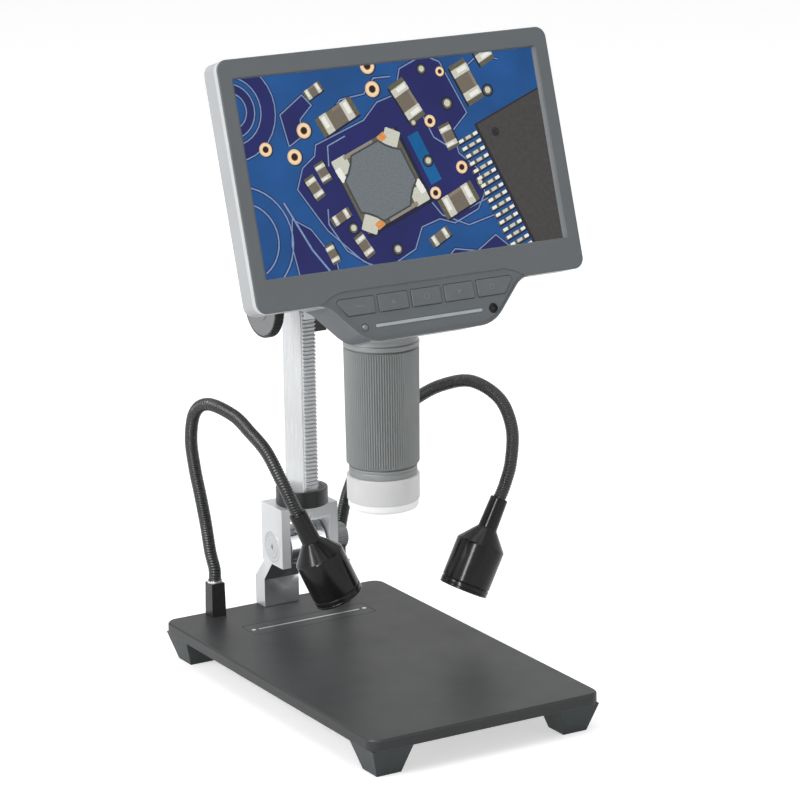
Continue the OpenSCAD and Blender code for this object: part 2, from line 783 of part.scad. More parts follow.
// Column
module column_screw_places() {
    for (sy = [-1, 1]) translate([0, col_y + sy * column_screw_y, fork_slot_z + screw_head_h]) children();
}
module collar() {
    color([0.15, 0.15, 0.15]) translate([0, col_y, fork_top_z]) difference() {
        cylinder(r = collar_r, h = collar_h);
        translate([0, 0, collar_floor]) cylinder(r = collar_r - collar_wall, h = collar_h);
        translate([0, 0, -over]) linear_extrude(collar_floor + 2 * over)
            round_rect(col_w + 2 * seat, col_d + 2 * seat, col_r + seat);
    }
}
module column_bar() {
    color([0.86, 0.87, 0.88]) difference() {
        translate([0, col_y, fork_top_z]) linear_extrude(col_h) round_rect(col_w, col_d, col_r);
        column_screw_places() cylinder(r = screw_r + seat, h = fork_bar - screw_head_h + screw_bite + seat);
        translate([0, col_y, col_top - cap_pin_h]) cylinder(r = cap_pin_r + seat, h = cap_pin_h + over);
    }
}
module column_screws() {
    color("silver") column_screw_places() stand_screw(fork_bar - screw_head_h + screw_bite);
}
module column_cap() {
    color([0.12, 0.12, 0.12]) translate([0, col_y, col_top]) {
        linear_extrude(col_cap_t)
            round_rect(col_w + 2 * col_cap_lip, col_d + 2 * col_cap_lip, col_r + col_cap_lip);
        translate([0, 0, -cap_pin_h + seat]) cylinder(r = cap_pin_r, h = cap_pin_h);
    }
}

// Rack tooth sides at a height: half a tooth at the pitch line, wider at the root, narrower at the tip
rack_half = tooth_pitch / 4 - backlash / 4;
rack_tip_half = rack_half - gear_m * tan(tooth_angle);
rack_root_half = rack_half + dedendum_share * gear_m * tan(tooth_angle);
module rack_strip() {
    root = rack_tip + gear_m + dedendum_share * gear_m;
    color([0.72, 0.73, 0.74]) extrude_x(rack_w) polygon(concat(
        [[col_front, rack_z0], [root, rack_z0]],
        [for (k = [tooth_low:tooth_high]) let (z = drive_z + (k + 0.5) * tooth_pitch) each [
            [root, z - rack_root_half], [rack_tip, z - rack_tip_half],
            [rack_tip, z + rack_tip_half], [root, z + rack_root_half]]],
        [[root, rack_z1], [col_front, rack_z1]]));
}

// Pinion tooth flank as an involute, from the root to the tip
pinion_tip_r = pinion_r + addendum_share * gear_m;
pinion_root_r = pinion_r - dedendum_share * gear_m;
flank_steps = 4;
function roll_angle(r) = r <= base_circle_r ? 0 : sqrt(pow(r / base_circle_r, 2) - 1) * 180 / PI;
function flank_turn(r) = roll_angle(r) - atan(roll_angle(r) * PI / 180);
pinion_half = 90 / pinion_n - backlash / 2 / pinion_r * 180 / PI + flank_turn(pinion_r);
flank_r = max(base_circle_r, pinion_root_r);
function flank(side) = [for (k = [0:flank_steps]) let (
        r = flank_r + (pinion_tip_r - flank_r) * k / flank_steps,
        a = side * (pinion_half - flank_turn(r))) [r, a]];
function backwards(l) = [for (k = [len(l) - 1:-1:0]) l[k]];
module pinion_outline() {
    tooth = concat([[pinion_root_r, -pinion_half]], flank(-1), backwards(flank(1)),
        [[pinion_root_r, pinion_half]]);
    polygon([for (n = [0:pinion_n - 1], p = tooth) let (a = p[1] + n * 360 / pinion_n)
        p[0] * [cos(a), sin(a)]]);
}
module pinion_shaft() {
    color([0.7, 0.7, 0.72]) translate([0, drive_y, drive_z]) {
        rod_x(shaft_r, -knob_x + cap_disc_t + over, knob_x - cap_disc_t - over);
        extrude_x(pinion_w) pinion_outline();
    }
}
module knob(side) {
    inner = knob_x - knob_rim;
    color([0.12, 0.12, 0.12]) translate([0, drive_y, drive_z]) scale([side, 1, 1]) difference() {
        union() {
            rod_x(knob_r - knob_lip, inner, knob_x);
            rod_x(knob_r, inner + knob_lip, knob_x - knob_lip);
            rod_x(hub_r, car_w / 2 + bush_flange_t + gap, inner + over);
        }
        rod_x(cap_disc_r + seat, knob_x - cap_disc_t, knob_x + over);
        rod_x(shaft_r + seat, 0, knob_x - cap_disc_t - over + seat);
    }
}
module focus_knob_left() {
    knob(-1);
}
module focus_knob_right() {
    knob(1);
}
module knob_caps() {
    color([0.48, 0.48, 0.48]) translate([0, drive_y, drive_z]) for (side = [-1, 1]) scale([side, 1, 1]) {
        rod_x(cap_disc_r, knob_x - cap_disc_t, knob_x);
        rod_x(cap_disc_r / 2, knob_x - cap_disc_t, knob_x + knob_lip);
    }
}

// Carriage
module carriage_block() {
    color([0.1, 0.1, 0.1]) difference() {
        union() {
            span([-car_w / 2, car_front, car_z0], [car_w / 2, car_back, car_z1]);
            span([col_w / 2 + slide_gap, col_front + slide_gap, car_z0 - lug_h],
                [col_w / 2 + slide_gap + lug_t, col_back, car_z0 + over]);
        }
        span([-col_w / 2 - slide_gap, col_front - slide_gap, car_z0 - over],
            [col_w / 2 + slide_gap, col_back + slide_gap, car_z1 + over]);
        span([-rack_w / 2 - gap, rack_tip - gap, car_z0 - over],
            [rack_w / 2 + gap, col_front, car_z1 + over]);
        translate([0, drive_y, drive_z]) {
            rod_x(pinion_tip_r + 2 * gap, -pinion_w / 2 - gap, pinion_w / 2 + gap);
            rod_x(bush_r + seat, -car_w, car_w);
        }
        tension_place() rotate([0, -90, 0]) cylinder(r = screw_r + seat, h = car_w / 2);
        car_screw_places() rotate([-90, 0, 0]) cylinder(r = screw_r + seat, h = arm_bite + seat);
    }
}
module shaft_bushes() {
    color([0.75, 0.6, 0.3]) translate([0, drive_y, drive_z]) for (side = [-1, 1]) scale([side, 1, 1])
        difference() {
            union() {
                rod_x(bush_r, pinion_w / 2 + gap, car_w / 2);
                rod_x(bush_flange_r, car_w / 2, car_w / 2 + bush_flange_t);
            }
            rod_x(shaft_r + fit, 0, car_w);
        }
}
module tension_place() {
    translate([col_w / 2 + slide_gap + lug_t, lug_y, car_z0 - lug_h / 2]) children();
}
module tension_screw() {
    color("silver") tension_place() rotate([0, -90, 0]) stand_screw(lug_t);
}

// Arm from the carriage to the head
module arm_screw_places() {
    for (sx = [-1, 1], z = arm_screw_z) translate([sx * arm_screw_x, hump_rear_y, z]) children();
}
module car_screw_places() {
    for (sx = [-1, 1]) translate([sx * car_screw_x, car_front, car_screw_z]) children();
}
module flange_hole() {
    translate([0, 0, -over]) cylinder(r = screw_r + seat, h = flange_t + 2 * over);
}
module head_arm() {
    color([0.1, 0.1, 0.1]) difference() {
        union() {
            span([-front_flange_w / 2, hump_rear_y, arm_z0],
                [front_flange_w / 2, hump_rear_y + flange_t, arm_z0 + front_flange_h]);
            span([-arm_w / 2, hump_rear_y, arm_z0], [arm_w / 2, car_front, arm_z0 + arm_h]);
            span([-rear_flange_w / 2, car_front - flange_t, car_z1 - rear_flange_h],
                [rear_flange_w / 2, car_front, car_z1]);
        }
        arm_screw_places() rotate([-90, 0, 0]) flange_hole();
        car_screw_places() rotate([90, 0, 0]) flange_hole();
    }
}
module arm_screws() {
    color("silver") {
        arm_screw_places() translate([0, flange_t, 0]) rotate([90, 0, 0]) stand_screw(flange_t + arm_bite);
        car_screw_places() translate([0, -flange_t, 0]) rotate([-90, 0, 0]) stand_screw(flange_t + arm_bite);
    }
}

// Barrel
module barrel_place(z) {
    translate([0, barrel_y, z]) children();
}
module barrel_tube() {
    color([0.42, 0.43, 0.43]) difference() {
        union() {
            barrel_place(cap_top) cylinder(r = nose_r, h = nose_h - gap);
            barrel_place(cap_top) cylinder(r = tube_r, h = tube_top - cap_top);
        }
        barrel_place(cap_top - over) cylinder(r = ledge_r, h = tube_top);
        barrel_place(cap_top + ledge_t) cylinder(r = bore_r, h = crown_top - ledge_t - cap_top - ledge_t);
        barrel_place(crown_top) cylinder(r = bore_r, h = tube_top);
    }
}
module barrel_crown() {
    color([0.46, 0.47, 0.47]) difference() {
        barrel_place(sleeve_top + gap) rotate_extrude() polygon([[0, 0], [crown_r, 0], [crown_r, crown_band],
            [crown_r - rib_t, crown_band + rib_t], [crown_r - rib_t, crown_band + crown_groove_t],
            [crown_r, crown_band + crown_groove_t + rib_t],
            [crown_r, crown_top - sleeve_top - gap], [0, crown_top - sleeve_top - gap]]);
        barrel_place(sleeve_top - over) cylinder(r = tube_r + seat, h = tube_top);
    }
}
module camera_board() {
    color([0.1, 0.35, 0.2]) barrel_place(crown_top) {
        cylinder(r = bore_r - seat, h = board_t);
        translate([-sensor_w / 2, -sensor_w / 2, -sensor_t])
            cube([sensor_w, sensor_w, sensor_t + board_t / 2]);
    }
}
module led_ring() {
    color([0.9, 0.9, 0.85]) barrel_place(cap_top + ledge_t) {
        difference() {
            cylinder(r = bore_r - seat, h = board_t);
            translate([0, 0, -over]) cylinder(r = lens_hole_r - over, h = board_t + 2 * over);
        }
        for (k = [0:ring_led_n - 1]) rotate(k * 360 / ring_led_n)
            translate([ring_led_pitch_r, 0, -ledge_t + gap]) cylinder(r = ring_led_r, h = ledge_t);
    }
}
module light_cap() {
    low_r = cap_r - cap_taper;
    color([0.9, 0.91, 0.91, 0.8]) difference() {
        barrel_place(barrel_low) rotate_extrude() polygon([[lens_hole_r, 0], [low_r - cap_round, 0],
            [low_r - cap_round / 3, cap_round / 3], [low_r, cap_round], [low_r, cap_band],
            [cap_r, cap_band + cap_taper], [cap_r, cap_h],
            [ledge_r - seat, cap_h], [ledge_r - seat, cap_h + ledge_t / 2],
            [ledge_r - seat - spigot_wall, cap_h + ledge_t / 2],
            [ledge_r - seat - spigot_wall, cap_h - cap_wall],
            [cap_r - cap_wall, cap_h - 2 * cap_wall], [low_r - cap_wall, cap_round + cap_wall],
            [low_r - cap_wall - cap_round, cap_wall], [lens_hole_r, cap_wall]]);
    }
}
module focus_ring() {
    color([0.44, 0.45, 0.45]) difference() {
        barrel_place(nose_top) linear_extrude(sleeve_h, scale = sleeve_r / sleeve_low_r)
            polygon([for (k = [0:4 * rib_n - 1]) let (a = k * 90 / rib_n)
                (k % 4 < 2 ? sleeve_low_r : sleeve_low_r - rib_t) * [cos(a), sin(a)]]);
        barrel_place(nose_top - over) cylinder(r = tube_r + fit, h = sleeve_h + 2 * over);
    }
}
module lens_cell() {
    color([0.1, 0.1, 0.1]) barrel_place(cell_z) difference() {
        cylinder(r = bore_r - fit, h = cell_h);
        translate([0, 0, -over]) cylinder(r = lens_hole_r, h = cell_h + 2 * over);
        for (z = [-over, cell_h - glass_t - gap]) translate([0, 0, z])
            cylinder(r = glass_r + seat, h = glass_t + gap + over);
    }
}
module lens_glass() {
    color([0.7, 0.8, 0.9, 0.4]) barrel_place(cell_z) {
        for (z = [gap, cell_h - glass_t - gap]) translate([0, 0, z]) cylinder(r = glass_r, h = glass_t);
    }
}

// Screen: its own frame has the picture's middle at the origin, +Y up the picture and +Z out of it
module on_screen(z = 0) {
    translate([0, screen_y, screen_z]) rotate([90 - screen_lean, 0, 0]) translate([0, 0, z]) children();
}
// Place of a point of that frame in the YZ plane, from its height up the picture and its depth
function screen_point(v, z) = [screen_y + v * sin(screen_lean) - z * cos(screen_lean),
    screen_z + v * cos(screen_lean) + z * sin(screen_lean)];
function arc(centre, r, a0, a1) = [for (k = [0:arc_steps]) let (a = a0 + (a1 - a0) * k / arc_steps)
    centre + r * [cos(a), sin(a)]];
// Right side of the key panel's outline, drawn in by an inset
panel_in_x = panel_top_w / 2 + panel_in_r * tan(panel_slope / 2);
panel_out_x = panel_low_w / 2 - panel_out_r * tan(panel_slope / 2);
function panel_side(inset) = concat(
    arc([panel_in_x, -scr_low - panel_in_r], panel_in_r + inset, 90, 90 + panel_slope),
    arc([panel_out_x, -scr_low - panel_drop + panel_out_r], panel_out_r - inset, panel_slope - 90, -90));
function mirrored(points) = [for (k = [len(points) - 1:-1:0]) [-points[k][0], points[k][1]]];
module panel_outline(inset) {
    polygon(concat([[panel_in_x, -scr_low + inset + over]], panel_side(inset), mirrored(panel_side(inset)),
        [[-panel_in_x, -scr_low + inset + over]]));
}
module screen_outline(inset) {
    translate([0, (scr_top - scr_low) / 2])
        round_rect(scr_w - 2 * inset, scr_top + scr_low - 2 * inset, scr_r - inset / 2);
    panel_outline(inset);
}
module shell_screw_places() {
    for (sx = [-1, 1], v = [shell_screw_up, shell_screw_low])
        translate([sx * shell_screw_x, v, 0]) children();
}

// Keys: three plain ones between two with a slanted outer end
function key_outline(n, grow) = let (
        x0 = -key_w / 2 - grow, x1 = key_w / 2 + grow, h = key_h / 2 + grow,
        e0 = key_out_x - grow, e1 = key_out_x + key_out_w + grow,
        plain = [[x0, -h], [x1, -h], [x1, h], [x0, h]],
        slanted = [[e0, -h], [e1 - key_slant, -h], [e1, h - key_tip], [e1 - key_tip, h], [e0, h]])
    abs(n) < 2 ? [for (p = plain) [n * key_pitch + p[0], p[1]]]
    : [for (p = slanted) [sign(n) * p[0], p[1]]];
module key_shape(n, grow) {
    translate([0, key_v]) polygon(key_outline(n, grow));
}
module key(n) {
    color([0.43, 0.44, 0.44]) on_screen() {
        translate([0, 0, -key_stem]) linear_extrude(key_stem + face_t + key_proud) key_shape(n, 0);
        translate([0, 0, -gap - key_flange_t]) linear_extrude(key_flange_t) key_shape(n, key_flange);
    }
}
module key_1() {
    key(-2);
}
module key_2() {
    key(-1);
}
module key_3() {
    key(0);
}
module key_4() {
    key(1);
}
module key_5() {
    key(2);
}
module pill(w, h) {
    square([w - h, h], center = true);
    for (sx = [-1, 1]) translate([sx * (w - h) / 2, 0]) circle(r = h / 2);
}
module pocket_outline() {
    far = scr_low + panel_drop + over;
    polygon([[-pocket_w / 2, -pocket_v], [pocket_w / 2, -pocket_v], [panel_in_x, -scr_low],
        [panel_in_x, -far], [-panel_in_x, -far], [-panel_in_x, -scr_low]]);
}
module bevel_outline(w) {
    polygon([[-w / 2, seat], [w / 2, seat], [w / 2 + view_bevel, bezel_t], [-w / 2 - view_bevel, bezel_t]]);
}
module front_bezel() {
    color([0.42, 0.43, 0.44]) on_screen() difference() {
        union() {
            linear_extrude(bezel_t) screen_outline(0);
            shell_screw_places() translate([0, 0, -shell_d + shell_wall + seat])
                cylinder(r = shell_boss_r, h = shell_d - shell_wall);
            for (x = [-1, 0, 1]) translate([x * key_pitch, post_v, key_board_z])
                cylinder(r = post_r, h = -key_board_z + face_t / 2);
        }
        translate([0, 0, -over]) linear_extrude(bezel_t + over) square([view_w, view_h], center = true);
        intersection() {
            extrude_x(scr_w) bevel_outline(view_h);
            rotate(90) extrude_x(scr_w) bevel_outline(view_w);
        }
        translate([0, 0, bezel_t - seat / 2]) linear_extrude(over)
            square([view_w + 2 * view_bevel, view_h + 2 * view_bevel], center = true);
        translate([0, 0, face_t]) linear_extrude(pocket_t + over) pocket_outline();
        for (n = [-2:2]) translate([0, 0, -over]) linear_extrude(bezel_t + 2 * over) key_shape(n, key_gap);
        translate([light_x, light_v, -over]) cylinder(r = light_r + seat, h = bezel_t + 2 * over);
        translate([0, light_v, face_t - strip_t]) linear_extrude(strip_t + over)
            pill(strip_w + 2 * seat, strip_h + 2 * seat);
        translate([remote_x, light_v, -over]) cylinder(r = remote_r + seat, h = bezel_t + 2 * over);
        shell_screw_places() translate([0, 0, -shell_d])
            cylinder(r = small_screw_r + seat, h = shell_d - seat);
    }
}
module indicator_light() {
    color([0.7, 0.72, 0.74]) on_screen() translate([light_x, light_v, 0])
        cylinder(r = light_r, h = face_t + gap);
}
module trim_strip() {
    color([0.66, 0.69, 0.7]) on_screen(face_t - strip_t) translate([0, light_v, 0])
        linear_extrude(strip_t + seat) pill(strip_w, strip_h);
}
module remote_window() {
    color([0.03, 0.03, 0.03]) on_screen() translate([remote_x, light_v, 0])
        cylinder(r = remote_r, h = face_t + seat);
}
module lcd_panel() {
    color([0.1, 0.2, 0.5]) on_screen(-seat - lcd_t) linear_extrude(lcd_t)
        square([lcd_w, lcd_h], center = true);
}
module main_board() {
    color([0.1, 0.35, 0.2]) on_screen(main_z) {
        linear_extrude(board_t) square([main_w, main_h], center = true);
        for (sx = [-1, 1]) translate([sx * chip_w, 0, board_t / 2]) linear_extrude(board_t / 2 + chip_t)
            square(chip_w, center = true);
    }
}
module key_board() {
    color([0.1, 0.35, 0.2]) on_screen() {
        translate([0, 0, key_board_z - board_t]) linear_extrude(board_t) intersection() {
            translate([0, key_v - (key_board_h - key_h) / 2])
                square([2 * key_out_x + key_out_w, key_board_h], center = true);
            panel_outline(shell_wall + gap);
        }
        for (n = [-2:2]) {
            x = abs(n) < 2 ? n * key_pitch : sign(n) * (key_out_x + key_out_w / 2 - key_tip);
            translate([x, key_v, key_board_z - board_t / 2]) linear_extrude(switch_t + board_t / 2)
                square(switch_w, center = true);
        }
    }
}
module shell_screws() {
    color("silver") on_screen() shell_screw_places() translate([0, 0, -shell_d + small_head_h])
        screw(small_screw_r, shell_d - small_head_h - 2 * gap, small_head_r, small_head_h);
}
module socket_boxes(grow, depth) {
    for (k = [0:len(socket_v) - 1])
        translate([scr_w / 2 - socket_d, socket_v[k] - socket_w[k] / 2 - grow, -shell_d + shell_wall])
            cube([depth, socket_w[k] + 2 * grow, socket_t + grow]);
}
module side_sockets() {
    color([0.7, 0.7, 0.72]) on_screen() difference() {
        socket_boxes(0, socket_d - seat);
        for (k = [0:len(socket_v) - 1])
            translate([scr_w / 2 - socket_d + over, socket_v[k] - socket_w[k] / 2 + socket_wall,
                -shell_d + shell_wall + socket_wall])
                cube([socket_d, socket_w[k] - 2 * socket_wall, socket_t - 2 * socket_wall]);
    }
}

// Hump behind the screen that holds the top of the barrel, drawn in the YZ plane
module hump_outline(wall) {
    roof = screen_point(hump_v, -shell_d + shell_wall / 2);
    polygon([screen_point(-scr_low - hump_toe_share * panel_drop, -panel_d + shell_wall) + [0, wall],
        [hump_rear_y - wall, hump_z0 + wall], [hump_rear_y - wall, hump_z0 + hump_h - wall],
        [barrel_y + hump_back / 3, hump_z0 + hump_h + hump_back / 2 - wall], roof - [0, wall]]);
}
module back_shell() {
    color([0.72, 0.73, 0.74]) difference() {
        union() {
            on_screen(-shell_d) linear_extrude(shell_d) screen_outline(0);
            on_screen(-panel_d) linear_extrude(panel_d) panel_outline(0);
            extrude_x(hump_w) hump_outline(0);
        }
        difference() {
            union() {
                on_screen(-shell_d + shell_wall) linear_extrude(shell_d) screen_outline(shell_wall);
                on_screen(-panel_d + shell_wall) linear_extrude(panel_d) intersection() {
                    panel_outline(shell_wall);
                    translate([-scr_w / 2, over - shell_wall - 2 * scr_low]) square([scr_w, scr_low]);
                }
                extrude_x(hump_w - 2 * shell_wall) hump_outline(hump_wall);
            }
            on_screen(-shell_d) {
                for (sx = [-1, 1], sv = [-1, 1])
                    translate([sx * (main_w / 2 - main_post_r * 2), sv * (main_h / 2 - main_post_r * 2), 0])
                        cylinder(r = main_post_r, h = main_z + shell_d);
            }
            arm_screw_places() rotate([90, 0, 0]) cylinder(r = arm_boss_r, h = arm_bite + seat);
        }
        barrel_place(hump_z0 - over) cylinder(r = crown_r + seat, h = hump_wall + 2 * over);
        arm_screw_places() rotate([90, 0, 0]) translate([0, 0, -over])
            cylinder(r = screw_r + seat, h = over + arm_bite + 2 * seat);
        on_screen() {
            shell_screw_places() translate([0, 0, -shell_d - over]) {
                cylinder(r = small_screw_r + seat, h = shell_d);
                cylinder(r = small_head_r + seat, h = over + small_head_h);
            }
            intersection() {
                socket_boxes(2 * seat, socket_d + over);
                translate([scr_w / 2 - shell_wall - over, -scr_low, -shell_d])
                    cube([scr_w, 2 * scr_low, shell_d]);
            }
        }
    }
}

base_plate();
feet();
foot_screws();
base_inlay();
inlay_line();
inlay_pins();
foot_bracket();
base_screws();
lamp_boots();
gooseneck_left();
lamp_body_left();
lamp_ring_left();
lamp_lens_left();
lamp_led_left();
gooseneck_right();
lamp_body_right();
lamp_ring_right();
lamp_lens_right();
lamp_led_right();
fork_block();
pivot_bolt();
pivot_washers();
collar();
column_bar();
rack_strip();
column_screws();
column_cap();
clamp_knob();
carriage_block();
shaft_bushes();
tension_screw();
head_arm();
arm_screws();
pinion_shaft();
focus_knob_left();
focus_knob_right();
knob_caps();
front_bezel();
back_shell();
lcd_panel();
main_board();
key_board();
indicator_light();
trim_strip();
remote_window();
shell_screws();
side_sockets();
barrel_tube();
barrel_crown();
camera_board();
led_ring();
light_cap();
focus_ring();
lens_cell();
lens_glass();
key_1();
key_2();
key_3();
key_4();
key_5();
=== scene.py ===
import json
import math

import bmesh
import bpy
from mathutils import Matrix, Vector


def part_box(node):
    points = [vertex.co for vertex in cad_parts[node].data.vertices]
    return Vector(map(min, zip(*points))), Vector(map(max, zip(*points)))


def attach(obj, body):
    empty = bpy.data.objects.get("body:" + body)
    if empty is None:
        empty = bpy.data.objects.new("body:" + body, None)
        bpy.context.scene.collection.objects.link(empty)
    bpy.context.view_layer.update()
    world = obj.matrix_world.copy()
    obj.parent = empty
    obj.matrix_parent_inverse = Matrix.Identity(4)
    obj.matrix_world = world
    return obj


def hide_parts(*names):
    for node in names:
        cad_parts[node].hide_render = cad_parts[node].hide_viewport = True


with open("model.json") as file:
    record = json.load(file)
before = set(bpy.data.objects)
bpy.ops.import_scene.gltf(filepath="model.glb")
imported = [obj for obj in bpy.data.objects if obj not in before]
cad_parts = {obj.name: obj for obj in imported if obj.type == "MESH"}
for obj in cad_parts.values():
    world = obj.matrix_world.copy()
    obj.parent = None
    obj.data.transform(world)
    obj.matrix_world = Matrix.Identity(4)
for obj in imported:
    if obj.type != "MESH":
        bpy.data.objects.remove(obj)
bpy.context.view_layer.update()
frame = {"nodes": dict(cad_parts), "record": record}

# Sizes are millimetres in this script, and MM turns them into the scene's metres
MM = 0.001
NODES = frame["nodes"]
BODY = {n: b for b, names in frame["record"]["behaviour"]["bodies"].items() for n in names}
SLOT = {s["node"]: s["material_slot"] for s in frame["record"]["subparts"]}


def box(node):
    """Lowest and highest corner of a node, in millimetres."""
    low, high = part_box(node)
    return Vector(low) / MM, Vector(high) / MM


def middle(node):
    low, high = box(node)
    return (low + high) / 2


# Places that the frame gives
BARREL_AXIS = Matrix.Translation(Vector((0, middle("barrel_tube").y, 0)) * MM)
DRIVE = middle("pinion_shaft")
PIVOT = Vector((middle("foot_bracket").x, middle("pivot_bolt").y, middle("pivot_bolt").z))

# Screen's own frame: +X right, +Y up the picture, +Z out of it, from the middle of the picture
SCREEN_LEAN = 17.4
SCREEN_Y = -31.0
SCREEN_Z = 258.1
SCREEN = (Matrix.Translation(Vector((0, SCREEN_Y, SCREEN_Z)) * MM)
          @ Matrix.Rotation(math.radians(90 - SCREEN_LEAN), 4, "X"))

# Picture, housing and key panel, with the model's own sizes
VIEW_W = 152.4
VIEW_H = 87.4
SCR_W = 168.2
SCR_TOP = 52.6
SCR_LOW = 58.5
SCR_R = 5.0
BEZEL_T = 1.8
POCKET_T = 0.5
PANEL_TOP_W = 100.4
PANEL_LOW_W = 64.8
PANEL_DROP = 18.9
PANEL_IN_R = 11.0
PANEL_OUT_R = 16.6


def rgb(r, g, b):
    """Screen colour, 0 to 255, as the shader's linear colour."""
    def linear(c):
        c = c / 255
        return c / 12.92 if c <= 0.04045 else ((c + 0.055) / 1.055) ** 2.4
    return (linear(r), linear(g), linear(b), 1.0)


def shade(colour, k):
    """A colour made lighter or darker by a factor."""
    return tuple(min(1.0, c * k) for c in colour[:3]) + (1.0,)


class Paint:
    """A material on one Principled shader, whose steps each add one kind of variation."""

    DETAIL = 3.0
    LEAST_ROUGH = 0.02

    def __init__(self, name, colour, rough, metal=0.0, gloss=0.5, **sockets):
        self.material = bpy.data.materials.new(name)
        self.material.use_nodes = True
        self.tree = self.material.node_tree
        self.shader = self.tree.nodes["Principled BSDF"]
        self.colour = colour
        self.rough = rough
        sockets.update(Base_Color=colour, Roughness=rough, Metallic=metal, Specular_IOR_Level=gloss)
        for key, value in sockets.items():
            self.shader.inputs[key.replace("_", " ")].default_value = value

    def node(self, kind, **values):
        made = self.tree.nodes.new(kind)
        for key, value in values.items():
            socket = key.replace("_", " ")
            if socket in made.inputs:
                made.inputs[socket].default_value = value
            else:
                setattr(made, key, value)
        return made

    def link(self, a, b):
        self.tree.links.new(a, b)

    def noise(self, size, stretch=(1, 1, 1)):
        """Noise whose spots are about size millimetres across."""
        where = self.node("ShaderNodeTexCoord")
        mapping = self.node("ShaderNodeMapping", Scale=stretch)
        made = self.node("ShaderNodeTexNoise", Scale=1 / (size * MM), Detail=self.DETAIL)
        self.link(where.outputs["Object"], mapping.inputs["Vector"])
        self.link(mapping.outputs["Vector"], made.inputs["Vector"])
        return made.outputs["Fac"]

    def ramp(self, value, low, high, start=0.3, end=0.7):
        """Turns a value into a colour that goes from low to high between two places."""
        made = self.node("ShaderNodeValToRGB")
        for stop, position, colour in zip(made.color_ramp.elements, (start, end), (low, high)):
            stop.position = position
            stop.color = colour
        self.link(value, made.inputs["Fac"])
        return made.outputs["Color"]

    def tones(self, size, spread, *places, stretch=(1, 1, 1)):
        """The material's own colour, drifting by a share of itself."""
        low, high = shade(self.colour, 1 - spread), shade(self.colour, 1 + spread)
        return self.ramp(self.noise(size, stretch), low, high, *places)

    def mottle(self, size, spread, stretch=(1, 1, 1)):
        """Lets the colour drift."""
        self.base = self.tones(size, spread, stretch=stretch)
        self.link(self.base, self.shader.inputs["Base Color"])
        return self

    def patches(self, size, spread, stretch=(1, 1, 1)):
        """Lets the roughness drift."""
        least = max(self.LEAST_ROUGH, self.rough - spread)
        made = self.node("ShaderNodeMapRange", To_Min=least, To_Max=self.rough + spread)
        self.link(self.noise(size, stretch), made.inputs["Value"])
        self.link(made.outputs["Result"], self.shader.inputs["Roughness"])
        return self

    def grain(self, size, depth, stretch=(1, 1, 1)):
        """Adds a fine relief of a depth in millimetres."""
        bump = self.node("ShaderNodeBump", Strength=1.0, Distance=depth * MM)
        self.link(self.noise(size, stretch), bump.inputs["Height"])
        self.link(bump.outputs["Normal"], self.shader.inputs["Normal"])
        return self

    def edge_wear_and_highlight(self, radius, colour, amount):
        """Shifts the colour along edges, found by comparing a rounded normal with the plain one: partly edge
        wear, partly painted highlight.
        """
        rounded_off = self.node("ShaderNodeBevel", Radius=radius * MM, samples=4)
        plain = self.node("ShaderNodeNewGeometry")
        dot = self.node("ShaderNodeVectorMath", operation="DOT_PRODUCT")
        self.link(rounded_off.outputs["Normal"], dot.inputs[0])
        self.link(plain.outputs["Normal"], dot.inputs[1])
        on_edge, flat = 0.75, 0.99
        mask = self.ramp(dot.outputs["Value"], (amount,) * 3 + (1,), (0, 0, 0, 1), on_edge, flat)
        mix = self.node("ShaderNodeMix", data_type="RGBA")
        self.link(mask, mix.inputs["Factor"])
        self.link(self.base, mix.inputs["A"])
        mix.inputs["B"].default_value = colour
        self.link(mix.outputs["Result"], self.shader.inputs["Base Color"])
        return self


def milky(name, tone, glow):
    """The light cap's plastic, with a faint painted glow that lightens it."""
    paint = Paint(name, rgb(tone, tone + 1, tone + 1), 0.34, Transmission_Weight=0.1, IOR=1.42,
                  Subsurface_Weight=0.25, Subsurface_Scale=0.004, Emission_Color=(1, 1, 1, 1),
                  Emission_Strength=glow)
    return paint.mottle(7, 0.025).patches(4, 0.05).grain(0.3, 0.004)
